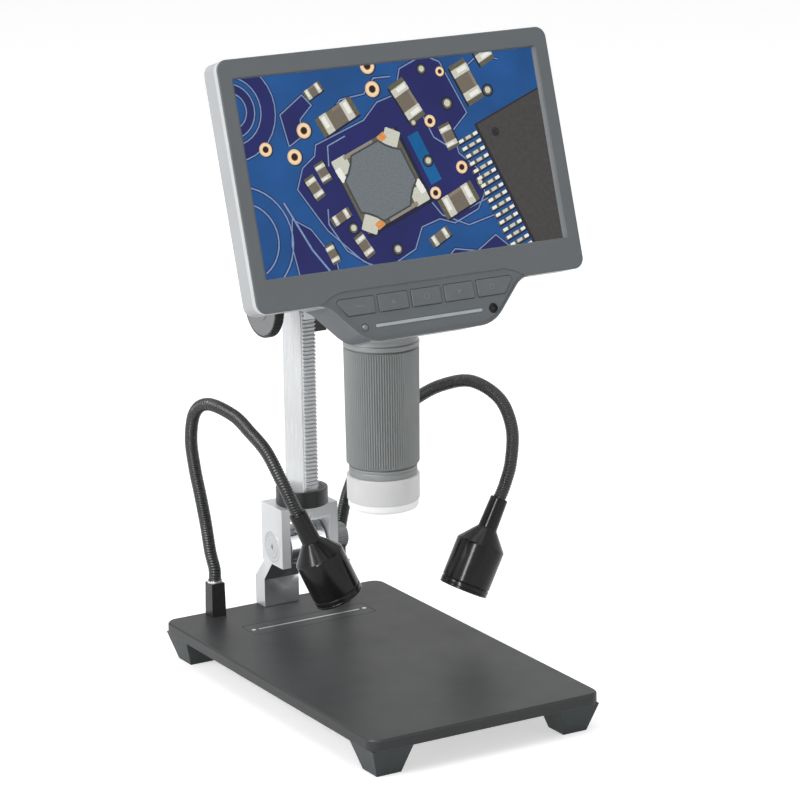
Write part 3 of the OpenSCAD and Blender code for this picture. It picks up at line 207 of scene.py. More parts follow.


# Each material under the short name that the parts use; their lighter edges are partly wear and partly
# painted highlight
PAINTS = {
    "plate": Paint("plate_powder_coat", rgb(52, 53, 54), 0.42, gloss=0.25)
    .mottle(60, 0.07).patches(14, 0.06).grain(0.35, 0.012).edge_wear_and_highlight(0.5, rgb(112, 113, 114), 0.5),
    "feet": Paint("feet_moulded", rgb(46, 51, 53), 0.5, gloss=0.3)
    .mottle(8, 0.08).patches(5, 0.06).grain(0.25, 0.015).edge_wear_and_highlight(0.4, rgb(92, 98, 101), 0.4),
    "steel": Paint("turned_steel", rgb(200, 202, 204), 0.26, 1.0)
    .mottle(2, 0.06).patches(1, 0.07).grain(0.12, 0.003, (1, 1, 8)),
    "inlay": Paint("inlay_plastic", rgb(58, 59, 60), 0.42, gloss=0.25).mottle(9, 0.06).grain(0.2, 0.006),
    "inlay_line": Paint("inlay_line_metal", rgb(205, 208, 210), 0.32, 0.6)
    .mottle(3, 0.05).grain(0.1, 0.003),
    "silver": Paint("anodised_silver", rgb(213, 215, 217), 0.32, 0.35, gloss=0.3)
    .mottle(18, 0.05, (1, 1, 0.25)).patches(2, 0.07, (6, 6, 0.3)).grain(0.16, 0.004, (6, 6, 0.3))
    .edge_wear_and_highlight(0.3, rgb(240, 241, 242), 0.5),
    "polished": Paint("polished_silver", rgb(228, 230, 232), 0.14, 1.0)
    .mottle(16, 0.04).patches(3, 0.04).grain(0.2, 0.002),
    "column": Paint("drawn_aluminium", rgb(209, 211, 213), 0.26, 0.35, gloss=0.3)
    .mottle(12, 0.03, (3, 3, 0.06)).patches(1, 0.05, (5, 5, 0.05)).grain(0.18, 0.005, (7, 7, 0.06)),
    "rack": Paint("cut_rack", rgb(205, 207, 209), 0.4, 0.55).mottle(2, 0.08).grain(0.12, 0.004, (0.4, 6, 6)),
    "black_metal": Paint("black_satin_metal", rgb(38, 39, 40), 0.36, gloss=0.35)
    .mottle(9, 0.1).patches(3, 0.06).grain(0.2, 0.006).edge_wear_and_highlight(0.35, rgb(92, 93, 94), 0.5),
    "neck": Paint("black_wound_neck", rgb(40, 41, 42), 0.27, gloss=0.42)
    .mottle(3, 0.06).patches(1.5, 0.04).grain(0.12, 0.004),
    "lamp": Paint("lamp_gloss_black", rgb(25, 25, 26), 0.17, gloss=0.22)
    .mottle(6, 0.12).patches(4, 0.04).grain(0.15, 0.0015, (1, 1, 6)),
    "clear": Paint("lamp_clear_lens", rgb(225, 230, 232), 0.06, Transmission_Weight=0.85, IOR=1.49)
    .mottle(3, 0.02).grain(0.9, 0.01),
    "led": Paint("light_board_white", rgb(232, 230, 214), 0.4).mottle(1.5, 0.06).grain(0.2, 0.004),
    "clamp": Paint("clamp_grey_metal", rgb(132, 136, 137), 0.34, 0.7).mottle(2, 0.08).grain(0.12, 0.004),
    # Black rubber for the washers, and for the black band sunk round each key as painted shade
    "rubber_black": Paint("black_rubber_and_painted_gap_shade", rgb(36, 36, 36), 0.7, gloss=0.3).mottle(2, 0.1).grain(0.15, 0.01),
    "brass": Paint("turned_brass", rgb(206, 168, 96), 0.28, 1.0).mottle(2, 0.08).grain(0.1, 0.003),
    "knob": Paint("knob_black", rgb(34, 34, 35), 0.4, gloss=0.35)
    .mottle(5, 0.1).patches(2, 0.06).grain(0.15, 0.006).edge_wear_and_highlight(0.3, rgb(84, 84, 85), 0.4),
    "knob_face": Paint("knob_face_grey", rgb(112, 113, 114), 0.4, 0.2).mottle(4, 0.05).grain(0.12, 0.004),
    "bezel": Paint("bezel_satin_grey", rgb(101, 106, 109), 0.46, gloss=0.3)
    .mottle(45, 0.035).patches(10, 0.04).grain(0.14, 0.0045),
    "rim": Paint("rim_silver", rgb(196, 198, 200), 0.32, 0.2, gloss=0.2).mottle(12, 0.03).grain(0.12, 0.002),
    "shell": Paint("shell_silver_grey", rgb(170, 172, 174), 0.42, gloss=0.14)
    .mottle(40, 0.04).patches(9, 0.05).grain(0.16, 0.004).edge_wear_and_highlight(0.5, rgb(190, 192, 194), 0.4),
    "board": Paint("circuit_board_green", rgb(28, 92, 62), 0.4).mottle(3, 0.2).grain(0.3, 0.01),
    "key": Paint("key_satin_grey", rgb(102, 107, 110), 0.44, gloss=0.3)
    .mottle(7, 0.04).patches(3, 0.04).grain(0.13, 0.004).edge_wear_and_highlight(0.3, rgb(136, 141, 143), 0.6),
    "mark": Paint("key_mark_grey", rgb(116, 121, 123), 0.5, gloss=0.3).mottle(2, 0.05).grain(0.1, 0.003),
    "trim": Paint("trim_pale", rgb(164, 170, 174), 0.25, Coat_Weight=0.2).mottle(6, 0.05).grain(0.2, 0.002),
    "indicator": Paint("indicator_smoked", rgb(122, 127, 130), 0.12).mottle(1, 0.06).grain(0.3, 0.001),
    "dark_window": Paint("dark_window", rgb(6, 6, 7), 0.08, gloss=0.3).mottle(1, 0.2).grain(0.3, 0.001),
    "panel_glass": Paint("panel_dark_glass", rgb(24, 40, 84), 0.12, Coat_Weight=0.5)
    .mottle(20, 0.1).grain(3, 0.001),
    "barrel": Paint("barrel_satin_grey", rgb(136, 139, 139), 0.36, 0.2, gloss=0.35)
    .mottle(14, 0.05, (1, 1, 0.3)).patches(3, 0.05).grain(0.14, 0.004)
    .edge_wear_and_highlight(0.25, rgb(150, 152, 152), 0.4),
    # The cap's glow is painted light, and its lower band is a lighter copy with more glow
    "milky": milky("milky_cap", 184, 0.17),
    "milky_painted_lit_band": milky("milky_low_cap", 204, 0.3),
}
MATERIALS = {key: paint.material for key, paint in PAINTS.items()}
GLASS_BLACK = (0.003, 0.003, 0.004, 1.0)
PICTURE_GLOW = 0.92


def lit(name, colour, size, spread):
    """A colour of the lit picture: it glows as written, under the screen's gloss."""
    paint = Paint(name, colour, 0.2, gloss=0.12)
    tones = paint.tones(size, spread, 0.25, 0.75)
    paint.link(tones, paint.shader.inputs["Emission Color"])
    paint.shader.inputs["Base Color"].default_value = GLASS_BLACK
    paint.shader.inputs["Emission Strength"].default_value = PICTURE_GLOW
    return paint.grain(4.0, 0.0005).material


def add_object(name, mesh, material, place=None):
    piece = bpy.data.objects.new(name, mesh)
    bpy.context.scene.collection.objects.link(piece)
    if place is not None:
        piece.matrix_world = place
    for m in material if isinstance(material, list) else [material]:
        mesh.materials.append(m)
    return piece


def dress(piece, body, slot_name, *replaced):
    """Ties a finished piece to its body and hides the CAD nodes that it stands for; slot_name is not used."""
    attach(piece, body)
    if replaced:
        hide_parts(*replaced)
    return piece


def stands_for(piece, node):
    """Ties a piece to the body of the one CAD node that it stands for, and hides that node."""
    return dress(piece, BODY[node], SLOT[node], node)


def smooth(mesh, angle):
    """Smooth shading, with the edges that turn by more than an angle left sharp."""
    mesh.shade_smooth()
    mesh.set_sharp_from_angle(angle=math.radians(angle))


# Metres between corners that are one and the same, in a CAD mesh and at a turned shape's axis
SAME_PLACE = 2e-6
SAME_AXIS = 1e-7
# Degrees between CAD faces that count as flat, and how far a side's normal may point up or down
FLAT_ANGLE = 0.4
UPRIGHT = 0.5


def softened(node, key, width=0.3, segments=2, angle=35):
    """A copy of a CAD node whose sharp edges are rounded off."""
    mesh = NODES[node].data.copy()
    mesh.materials.clear()
    bm = bmesh.new()
    bm.from_mesh(mesh)
    bmesh.ops.remove_doubles(bm, verts=bm.verts, dist=SAME_PLACE)
    bmesh.ops.dissolve_limit(bm, angle_limit=math.radians(FLAT_ANGLE), verts=bm.verts, edges=bm.edges)
    bm.to_mesh(mesh)
    bm.free()
    piece = add_object(node + "_soft", mesh, MATERIALS[key])
    smooth(mesh, 32)
    bevel = piece.modifiers.new("edges", "BEVEL")
    bevel.limit_method = "ANGLE"
    bevel.angle_limit = math.radians(angle)
    bevel.width = width * MM
    bevel.segments = segments
    bevel.harden_normals = True
    return stands_for(piece, node)


def partly(piece, key, chosen):
    """Gives the chosen faces of a piece another material."""
    mesh = piece.data
    mesh.materials.append(MATERIALS[key])
    for face in mesh.polygons:
        if chosen(face):
            face.material_index = 1
    return piece


def bright_bore(piece, key):
    """Gives the faces that look in towards the piece's upright axis another material."""
    xs, ys = [v.co.x for v in piece.data.vertices], [v.co.y for v in piece.data.vertices]
    axis = Vector(((min(xs) + max(xs)) / 2, (min(ys) + max(ys)) / 2, 0))

    def looks_in(face):
        out = face.center - axis
        out.z = 0
        return abs(face.normal.z) < UPRIGHT and face.normal.dot(out) < 0

    return partly(piece, key, looks_in)


# CAD nodes that keep their own shape, by material
PLAIN = {
    "steel": ("inlay_pins", "foot_screws", "base_screws", "column_screws", "tension_screw", "arm_screws",
              "pinion_shaft", "shell_screws"),
    "rubber_black": ("pivot_washers",),
    "brass": ("shaft_bushes",),
    "black_metal": ("lens_cell",),
    "board": ("camera_board", "main_board", "key_board"),
    "led": ("led_ring", "lamp_led_left", "lamp_led_right"),
    "clear": ("lens_glass", "lamp_lens_left", "lamp_lens_right"),
    "panel_glass": ("lcd_panel",),
}


def paint_plain_nodes():
    for key, nodes in PLAIN.items():
        for node in nodes:
            mesh = NODES[node].data
            mesh.materials.clear()
            mesh.materials.append(MATERIALS[key])
            smooth(mesh, 30)


def rounded(points, radius, steps=4):
    """The closed outline with each corner turned into an arc, as far as its sides allow."""
    made = []
    nearly_straight, most_of_side = 0.1, 0.45
    for i, here in enumerate(points):
        here = Vector(here)
        back = Vector(points[i - 1]) - here
        ahead = Vector(points[(i + 1) % len(points)]) - here
        turn = math.pi - back.angle(ahead)
        if turn < nearly_straight:
            made.append(here)
            continue
        cut = min(radius * math.tan(turn / 2), most_of_side * back.length, most_of_side * ahead.length)
        a = here + back.normalized() * cut
        b = here + ahead.normalized() * cut
        for k in range(steps + 1):
            t = k / steps
            made.append(a * (1 - t) ** 2 + here * 2 * t * (1 - t) + b * t ** 2)
    return [tuple(p) for p in made]


def join_rows(bm, rows):
    """Faces between rows of corners that each run once round."""
    for row, after in zip(rows, rows[1:]):
        for k in range(len(row)):
            n = (k + 1) % len(row)
            bm.faces.new((row[k], row[n], after[n], after[k]))


def as_mesh(bm, name):
    mesh = bpy.data.meshes.new(name)
    bm.to_mesh(mesh)
    bm.free()
    return mesh


def lathe(name, profile, key, place, sides=96, ribs=0, rib_depth=0.0, ribbed=()):
    """A turned shape: the profile's (radius, height) pairs round the local Z axis, closed on itself.

    As many flutes as ribs says are cut into the rows whose index is in ribbed.
    """
    bm = bmesh.new()
    rows = []
    narrowness = 1.6
    for i, (r, z) in enumerate(profile):
        row = []
        for k in range(sides):
            a = 2 * math.pi * k / sides
            deep = rib_depth * (0.5 - 0.5 * math.cos(a * ribs)) ** narrowness if i in ribbed else 0.0
            row.append(bm.verts.new(((r - deep) * math.cos(a) * MM, (r - deep) * math.sin(a) * MM, z * MM)))
        rows.append(row)
    join_rows(bm, rows + rows[:1])
    bmesh.ops.remove_doubles(bm, verts=bm.verts, dist=SAME_AXIS)
    bmesh.ops.recalc_face_normals(bm, faces=bm.faces)
    mesh = as_mesh(bm, name)
    smooth(mesh, 28)
    return add_object(name, mesh, MATERIALS[key], place)


def plate(name, outlines, z0, z1, edge, key, place=SCREEN):
    """A flat plate with holes: the first outline is its border and the others are its holes."""
    curve = bpy.data.curves.new(name, "CURVE")
    curve.dimensions = "2D"
    curve.fill_mode = "BOTH"
    curve.extrude = ((z1 - z0) / 2 - edge) * MM
    curve.bevel_depth = edge * MM
    curve.bevel_resolution = 2
    curve.offset = -edge * MM
    for n, outline in enumerate(outlines):
        area = sum(a[0] * b[1] - b[0] * a[1] for a, b in zip(outline, outline[1:] + outline[:1]))
        points = outline if (area > 0) == (n == 0) else outline[::-1]
        spline = curve.splines.new("POLY")
        spline.points.add(len(points) - 1)
        for point, (x, y) in zip(spline.points, points):
            point.co = (x * MM, y * MM, 0, 1)
        spline.use_cyclic_u = True
    shape = bpy.data.objects.new(name + "_curve", curve)
    bpy.context.scene.collection.objects.link(shape)
    mesh = bpy.data.meshes.new_from_object(shape.evaluated_get(bpy.context.evaluated_depsgraph_get()))
    bpy.data.objects.remove(shape)
    mesh.transform(Matrix.Translation((0, 0, (z0 + z1) / 2 * MM)))
    mesh.name = name
    mesh.materials.clear()
    smooth(mesh, 25)
    return add_object(name, mesh, MATERIALS[key], place)


def arc(cx, cy, r, a0, a1, steps=10):
    turns = [math.radians(a0 + (a1 - a0) * k / steps) for k in range(steps + 1)]
    return [(cx + r * math.cos(a), cy + r * math.sin(a)) for a in turns]


def circle(cx, cy, r, steps=40):
    return arc(cx, cy, r, 0, 360 - 360 / steps, steps - 1)


def along_x(centre):
    """Turns local Z to +X at a place."""
    return Matrix.Translation(centre * MM) @ Matrix.Rotation(math.radians(90), 4, "Y")


# Stand
def make_stand():
    softened("base_plate", "plate", 0.3)
    softened("feet", "feet", 0.7, 3)
    softened("base_inlay", "inlay", 0.15)
    softened("inlay_line", "inlay_line", 0.08)
    # The bracket's front is polished
    partly(softened("foot_bracket", "silver", 0.35), "polished", lambda face: face.normal.y < -0.3)
    softened("lamp_boots", "knob", 0.5, 3)


# Column
def make_column():
    softened("fork_block", "silver", 0.35)
    bright_bore(softened("collar", "black_metal", 0.4), "silver")
    softened("column_bar", "column", 0.2)
    softened("rack_strip", "rack", 0.08, 1)
    softened("column_cap", "knob", 0.5)
    make_pivot_bolt()
    make_clamp_knob()


def pivot_span(node):
    """Radius of a node that turns on the pivot, and its two ends along X from there."""
    low, high = box(node)
    return (high.y - low.y) / 2, low.x - PIVOT.x, high.x - PIVOT.x


def make_pivot_bolt():
    head_r, start, end = pivot_span("pivot_bolt")
    head_t, head_edge, shank_r, shank_edge = 2.2, 0.2, 2.98, 0.3
    dimple_r, dimple_t, dimple_edge = 1.2, 1.1, 0.1
    groove_t, groove_half = 0.14, 0.35
    profile = [(0, start + dimple_t), (dimple_r, start + dimple_t), (dimple_r, start + dimple_edge),
               (dimple_r + head_edge, start)]
    for share in (0.42, 0.74):
        r = head_r * share
        profile += [(r - groove_half, start), (r, start + groove_t), (r + groove_half, start)]
    profile += [(head_r - head_edge, start), (head_r, start + head_edge), (head_r, start + head_t),
                (shank_r, start + head_t), (shank_r, end - shank_edge), (shank_r - shank_edge, end), (0, end)]
    stands_for(lathe("pivot_bolt_turned", profile, "rim", along_x(PIVOT)), "pivot_bolt")


def make_clamp_knob():
    r, start, end = pivot_span("clamp_knob")
    edge, bore, floor, sunk = 0.5, 3.06, 1.4, 0.25
    rim_share, dish_share = 0.62, 0.56
    profile = [(bore, start), (r - edge, start), (r, start + edge), (r, end - edge), (r - edge, end),
               (r * rim_share, end), (r * dish_share, end - sunk), (0, end - sunk), (0, end - floor),
               (bore, end - floor)]
    ribs, rib_t = 36, 0.22
    piece = lathe("clamp_knob_turned", profile, "clamp", along_x(PIVOT), 4 * ribs, ribs, rib_t, (2, 3))
    stands_for(piece, "clamp_knob")


# Carriage, arm and focus drive
def make_carriage():
    softened("carriage_block", "black_metal", 0.5)
    softened("head_arm", "black_metal", 0.5)
    make_focus_knobs()
    softened("knob_caps", "knob_face", 0.15)
    make_rack_wiper()


def make_rack_wiper():
    """Bent sheet under the carriage, an L seen from above."""
    left, right, front, back = -3.3, 5.8, 55.0, 59.5
    sheet_t, lip_t, low, high, edge = 1.6, 1.4, 169.0, 174.3, 0.2
    outline = [(left, front), (right, front), (right, back), (right - lip_t, back),
               (right - lip_t, front + sheet_t), (left, front + sheet_t)]
    piece = plate("rack_wiper", [outline], low, high, edge, "silver", Matrix.Identity(4))
    dress(piece, BODY["carriage_block"], SLOT["rack_strip"])


def make_focus_knobs():
    for name, side in (("focus_knob_left", -1), ("focus_knob_right", 1)):
        low, high = box(name)
        near, far = sorted((abs(low.x), abs(high.x)))
        r = (high.y - low.y) / 2
        rim_t, hub_r, hub_edge, recess_r, recess_t, shaft_r = 5.0, 5.0, 0.3, 14.5, 1.0, 2.1
        back_edge, front_edge, lip_edge = 0.8, 0.6, 0.2
        inner = far - rim_t
        profile = [
            (shaft_r, near), (hub_r - hub_edge, near), (hub_r, near + hub_edge), (hub_r, inner),
            (r - back_edge - 0.1, inner), (r, inner + back_edge), (r, far - front_edge), (r - 0.4, far),
            (recess_r + lip_edge, far), (recess_r, far - lip_edge), (recess_r, far - recess_t),
            (shaft_r, far - recess_t)]
        place = along_x(Vector((0, DRIVE.y, DRIVE.z))) @ Matrix.Scale(side, 4, (0, 0, 1))
        ribs, rib_t = 48, 0.35
        stands_for(lathe(name + "_turned", profile, "knob", place, 6 * ribs, ribs, rib_t, (5, 6)), name)


# Barrel
def barrel_span(node):
    """Radius of a node round the barrel's axis, its bottom and its top."""
    low, high = box(node)
    return (high.x - low.x) / 2, low.z, high.z


def make_focus_ring():
    r_top, bottom, top = barrel_span("focus_ring")
    bore, taper, ribs, rib_t, lead = 15.06, 0.5, 92, 0.55, 0.55
    r_low = r_top - taper
    profile = [(bore, bottom), (r_low - 1.1, bottom), (r_low - 0.7, bottom + 0.4)]
    heights = [bottom + 2 * lead, bottom + 4 * lead, (bottom + top) / 2, top - 2 * lead, top - lead]
    ribbed = range(len(profile), len(profile) + len(heights))
    profile += [(r_low + taper * (z - bottom) / (top - bottom), z) for z in heights]
    profile += [(r_top - 0.5, top - 0.3), (r_top - 0.8, top), (bore, top)]
    piece = lathe("focus_ring_ribbed", profile, "barrel", BARREL_AXIS, 8 * ribs, ribs, rib_t, ribbed)
    stands_for(piece, "focus_ring")


def make_crown():
    r, base, end = barrel_span("barrel_crown")
    inner, edge, groove_t, groove_low, groove_high = 15.1, 0.5, 0.65, 2.8, 4.4
    profile = rounded([
        (inner, base), (r - edge, base), (r, base + edge), (r, base + groove_low - 0.4),
        (r - groove_t, base + groove_low), (r - groove_t, base + groove_high), (r, base + groove_high + 0.4),
        (r, end), (inner, end)], 0.25)
    stands_for(lathe("barrel_crown_turned", profile, "barrel", BARREL_AXIS), "barrel_crown")


def make_tube():
    """The tube with its wider nose, which has a fine groove round it."""
    r, base, top = barrel_span("barrel_tube")
    nose_h, tube_r, bore, seat_t, seat_h, edge, groove_t = 4.5, 15.0, 12.0, 1.2, 2.0, 0.3, 0.25
    groove_low, groove_high = base + 2.8, base + 3.1
    profile = rounded([
        (bore, base), (r - edge, base), (r, base + edge), (r, groove_low - 0.2), (r - groove_t, groove_low),
        (r - groove_t, groove_high), (r, groove_high + 0.2), (r, base + nose_h - edge),
        (r - 0.4, base + nose_h), (tube_r, base + nose_h), (tube_r, top), (bore + seat_t, top),
        (bore + seat_t, base + seat_h), (bore, base + seat_h)], 0.2)
    stands_for(lathe("barrel_tube_turned", profile, "barrel", BARREL_AXIS), "barrel_tube")


def make_light_cap():
    r, base = barrel_span("light_cap")[:2]
    shoulder = base + 15.9
    wall, hole, lip_r, lip_t, lip_h, step, step_z, low_z = 1.5, 8.5, 11.9, 0.9, 1.0, 0.5, 4.5, 4.2
    r_low = r - step
    profile = rounded([
        (hole, base), (r_low - 1.4, base), (r_low - 0.45, base + 0.45), (r_low, base + 1.4),
        (r_low, base + step_z - 0.6), (r, base + step_z), (r, shoulder - 0.3), (r - 0.3, shoulder),
        (lip_r, shoulder), (lip_r, shoulder + lip_h), (lip_r - lip_t, shoulder + lip_h),
        (lip_r - lip_t, shoulder - wall), (r - wall, shoulder - 2 * wall),
        (r_low - wall, base + 2 * wall), (r - 3.6, base + wall), (hole, base + wall)], 0.3)
    piece = lathe("light_cap_moulded", profile, "milky", BARREL_AXIS)
    # The band below the step gets the lighter copy with more glow: a painted lit band
    partly(piece, "milky_painted_lit_band", lambda face: face.center.z < (base + low_z) * MM)
    stands_for(piece, "light_cap")


# Necks and lamps. The routes repeat the model's own points, as shares of NECK
NECK = 100.0
NECK_R = 3.1
SEAT = 8.0
BOOT = Vector((34.8, 94.0, 35.3))
LEFT_SHARES = [(0, 0, 0), (0, 0, .065), (-.01, .02, .15), (-.02, .04, .29), (-.05, .03, .44),
    (-.08, .02, .58), (-.11, -.01, .74), (-.11, -.06, .88), (-.09, -.17, .94), (-.04, -.32, .91),
    (-.03, -.46, .86), (-.01, -.58, .79), (.02, -.66, .67), (.05, -.69, .58), (.08, -.70, .51)]
RIGHT_SHARES = [(0, 0, 0), (0, 0, .07), (.02, .02, .17), (.05, 0, .33), (.09, -.05, .48), (.14, -.13, .62),
    (.20, -.23, .75), (.26, -.34, .86), (.32, -.47, .94), (.39, -.62, .98), (.45, -.77, .92),
    (.45, -.88, .80), (.40, -.95, .66), (.365, -.95, .55), (.335, -.95, .49)]


def smooth_route(points, steps=24):
    """Catmull-Rom curve through the points, as the model's own."""
    made = []
    for i in range(len(points) - 1):
        a, b, c, d = points[max(i - 1, 0)], points[i], points[i + 1], points[min(i + 2, len(points) - 1)]
        for k in range(steps):
            t = k / steps
            made.append((2 * b + (c - a) * t + (2 * a - 5 * b + 4 * c - d) * t * t
                         + (3 * b - a - 3 * c + d) * t ** 3) / 2)
    return made + [points[-1]]


def even_run(curve, step):
    """The curve again, in even steps."""
    made, left = [curve[0]], step
    for a, b in zip(curve, curve[1:]):
        span = (b - a).length
        at = 0.0
        while span - at >= left:
            at += left
            made.append(a.lerp(b, at / span))
            left = step
        left -= span - at
    return made


def make_neck(side_name, points):
    """A neck wound from wire: its rib runs round it as one long thread."""
    end = (points[-1] - points[-2]).normalized()
    inside, pitch, steps_per_rib, sides, depth, fullness = 6.0, 1.3, 6, 20, 0.44, 0.6
    line = [points[0] - Vector((0, 0, inside))] + smooth_route(points) + [points[-1] + end * inside]
    path = even_run(line, pitch / steps_per_rib)
    bm = bmesh.new()
    across = Vector((1, 0, 0))
    rows = []
    for i, here in enumerate(path):
        ahead = (path[min(i + 1, len(path) - 1)] - path[max(i - 1, 0)]).normalized()
        across = (across - ahead * across.dot(ahead)).normalized()
        up = ahead.cross(across)
        row = []
        for k in range(sides):
            a = 2 * math.pi * k / sides
            swell = abs(math.sin(math.pi * i / steps_per_rib + a / 2))
            r = NECK_R - depth * (1 - swell ** fullness)
            row.append(bm.verts.new((here + r * (math.cos(a) * across + math.sin(a) * up)) * MM))
        rows.append(row)
    join_rows(bm, rows)
    bm.faces.new(rows[0][::-1])
    bm.faces.new(rows[-1])
    node = "gooseneck_" + side_name
    mesh = as_mesh(bm, node + "_wound")
    smooth(mesh, 70)
    stands_for(add_object(node + "_wound", mesh, MATERIALS["neck"]), node)


def make_lamp(side_name, points):
    """Lamp body with its stem and cone, and the ring at its mouth, along the neck's last stretch."""
    axis = (points[-1] - points[-2]).normalized()
    turn = Vector((0, 0, 1)).rotation_difference(axis).to_matrix().to_4x4()
    place = Matrix.Translation(points[-1] * MM) @ turn
    stem_h, cone_z, drum_z, end_z = 15.1, 23.5, 42.7, 46.4
    stem_r, neck_r, r, inner, bore, wire_r, floor_t, spigot_t = 4.2, 4.6, 11.75, 9.95, 3.2, 1.5, 2.0, 0.8
    profile = rounded([
        (bore, 0), (stem_r - 0.3, 0), (stem_r, 0.4), (neck_r, stem_h - 0.2), (neck_r + 0.15, stem_h + 0.3),
        (r - 0.3, cone_z - 0.2), (r, cone_z + 0.5), (r, drum_z), (r - spigot_t, drum_z),
        (r - spigot_t, drum_z + 2), (inner, drum_z + 2), (inner, cone_z + floor_t),
        (wire_r, cone_z + floor_t), (wire_r, SEAT), (bore, SEAT)], 0.5)
    stands_for(lathe("lamp_shell_" + side_name, profile, "lamp", place, 128), "lamp_body_" + side_name)
    low, groove_t, mouth_r, fit_r = drum_z + 0.1, 0.2, r - 2.85, r - 0.85
    profile = rounded([
        (fit_r, low), (r - 0.4, low), (r - 0.35, low + 0.35), (r, low + 0.5), (r, end_z - 1.5),
        (r - groove_t, end_z - 1.35), (r - groove_t, end_z - 1.1), (r, end_z - 0.95), (r, end_z - 0.35),
        (r - 0.4, end_z), (mouth_r + 0.25, end_z), (mouth_r, end_z - 0.3), (mouth_r, end_z - 0.4),
        (fit_r, end_z - 0.4)], 0.15)
    stands_for(lathe("lamp_mouth_" + side_name, profile, "lamp", place, 128), "lamp_ring_" + side_name)


def make_ferrule(side_name, start):
    """Thin ring where a neck leaves its boot."""
    inner, outer, low, high = NECK_R + 0.05, NECK_R + 0.6, 0.02, 1.2
    profile = rounded([(inner, low), (outer, low), (outer, high), (inner, high)], 0.2)
    piece = lathe("lamp_ferrule_" + side_name, profile, "steel", Matrix.Translation(start * MM), 64)
    dress(piece, BODY["lamp_boots"], "steel")


def make_lamps():
    for side_name, side, shares in (("left", -1, LEFT_SHARES), ("right", 1, RIGHT_SHARES)):
        start = Vector((side * BOOT.x, BOOT.y, BOOT.z))
        points = [start + Vector(share) * NECK for share in shares]
        make_neck(side_name, points)
        make_lamp(side_name, points)
        make_ferrule(side_name, points[0])


# Screen
PANEL_SLOPE = math.degrees(math.atan2(PANEL_DROP, (PANEL_TOP_W - PANEL_LOW_W) / 2))
PANEL_IN_X = PANEL_TOP_W / 2 + PANEL_IN_R * math.tan(math.radians(PANEL_SLOPE / 2))
PANEL_OUT_X = PANEL_LOW_W / 2 - PANEL_OUT_R * math.tan(math.radians(PANEL_SLOPE / 2))


def panel_side(inset):
    """Right side of the key panel's outline, from the housing down to its lower edge."""
    return (arc(PANEL_IN_X, -SCR_LOW - PANEL_IN_R, PANEL_IN_R + inset, 90, 90 + PANEL_SLOPE)
            + arc(PANEL_OUT_X, -SCR_LOW - PANEL_DROP + PANEL_OUT_R, PANEL_OUT_R - inset,
                  PANEL_SLOPE - 90, -90))


def mirrored(points):
    """The points on the other side of the middle, in the opposite order."""
    return [(-x, y) for x, y in points[::-1]]


def rectangle(x0, y0, x1, y1):
    return [(x0, y0), (x1, y0), (x1, y1), (x0, y1)]


def housing_corners(inset):
    """The four round corners seen from the front, drawn in by an inset, anticlockwise."""
    w, top, low, r = SCR_W / 2 - inset, SCR_TOP - inset, -SCR_LOW + inset, SCR_R - inset
    return (arc(w - r, low + r, r, -90, 0) + arc(w - r, top - r, r, 0, 90)
            + arc(-w + r, top - r, r, 90, 180) + arc(-w + r, low + r, r, 180, 270))


def housing_outline(inset):
    """The whole screen housing with its key panel, in the same way."""
    right = panel_side(inset)[::-1]
    return mirrored(right) + right + housing_corners(inset)


def band(name, loops, key):
    """Joins closed outlines of equal length, each with its own height, into one strip."""
    bm = bmesh.new()
    join_rows(bm, [[bm.verts.new((x * MM, y * MM, z * MM)) for x, y in outline] for outline, z in loops])
    mesh = as_mesh(bm, name)
    smooth(mesh, 40)
    return add_object(name, mesh, MATERIALS[key], SCREEN)


# Keys: the middle three are rectangles, and the outer two have a slanted side and a cut tip.
# Then the panel's face, the indicator light, the remote window and the trim strip
KEY_W = 15.0
KEY_H = 7.6
KEY_PITCH = 16.95
KEY_V = -60.9
KEY_OUT = 26.4
KEY_OUT_W = 18.8
KEY_SLANT = 4.94
KEY_TIP = 1.4
KEY_GAP = 0.16
KEY_NUMBERS = range(-2, 3)
FACE_Z = BEZEL_T - POCKET_T
LIGHT = (-32.9, -70.5)
REMOTE = (33.2, -70.5)
TRIM_W = 55.0
TRIM_H = 1.55


def key_outline(n, grow, radius=0.6):
    x0, x1, h = -KEY_W / 2 - grow, KEY_W / 2 + grow, KEY_H / 2 + grow
    if abs(n) < 2:
        points = [(n * KEY_PITCH + x, KEY_V + y) for x, y in rectangle(x0, -h, x1, h)]
    else:
        e0, e1 = KEY_OUT - grow, KEY_OUT + KEY_OUT_W + grow
        points = [(x, KEY_V + y) for x, y in
                  ((e0, -h), (e1 - KEY_SLANT, -h), (e1, h - KEY_TIP), (e1 - KEY_TIP, h), (e0, h))]
        if n < 0:
            points = mirrored(points)
    return rounded(points, radius)


def pill_outline(cx, cy, w, h):
    r = h / 2
    return arc(cx + w / 2 - r, cy, r, -90, 90) + arc(cx - w / 2 + r, cy, r, 90, 270)


# Front of the housing: the pocket round the keys, the bright strip and the slope round the picture
POCKET_SIDE = 42.0
POCKET_V = -53.9
RIM = 0.55
STRIP_LOW = -1.6
STRIP_HIGH = 1.2
SLOPE_X = 1.2
SLOPE_Y = 0.35


def on_painted_shade_flank(face, to_screen=Matrix.Identity(4)):
    """Whether a face is on the panel's slanted flanks, which get the bezel's darker colour as painted shade.
    """
    spot, out = to_screen @ face.center, to_screen.to_3x3() @ face.normal
    below, downwards = 0.8, -0.95
    return spot.y < -(SCR_LOW + below) * MM and abs(out.z) < UPRIGHT and out.y > downwards


def picture_frame(grow_x, grow_y):
    """The picture's outline, larger by a margin on each side."""
    x, y = VIEW_W / 2 + grow_x, VIEW_H / 2 + grow_y
    return rectangle(-x, -y, x, y)


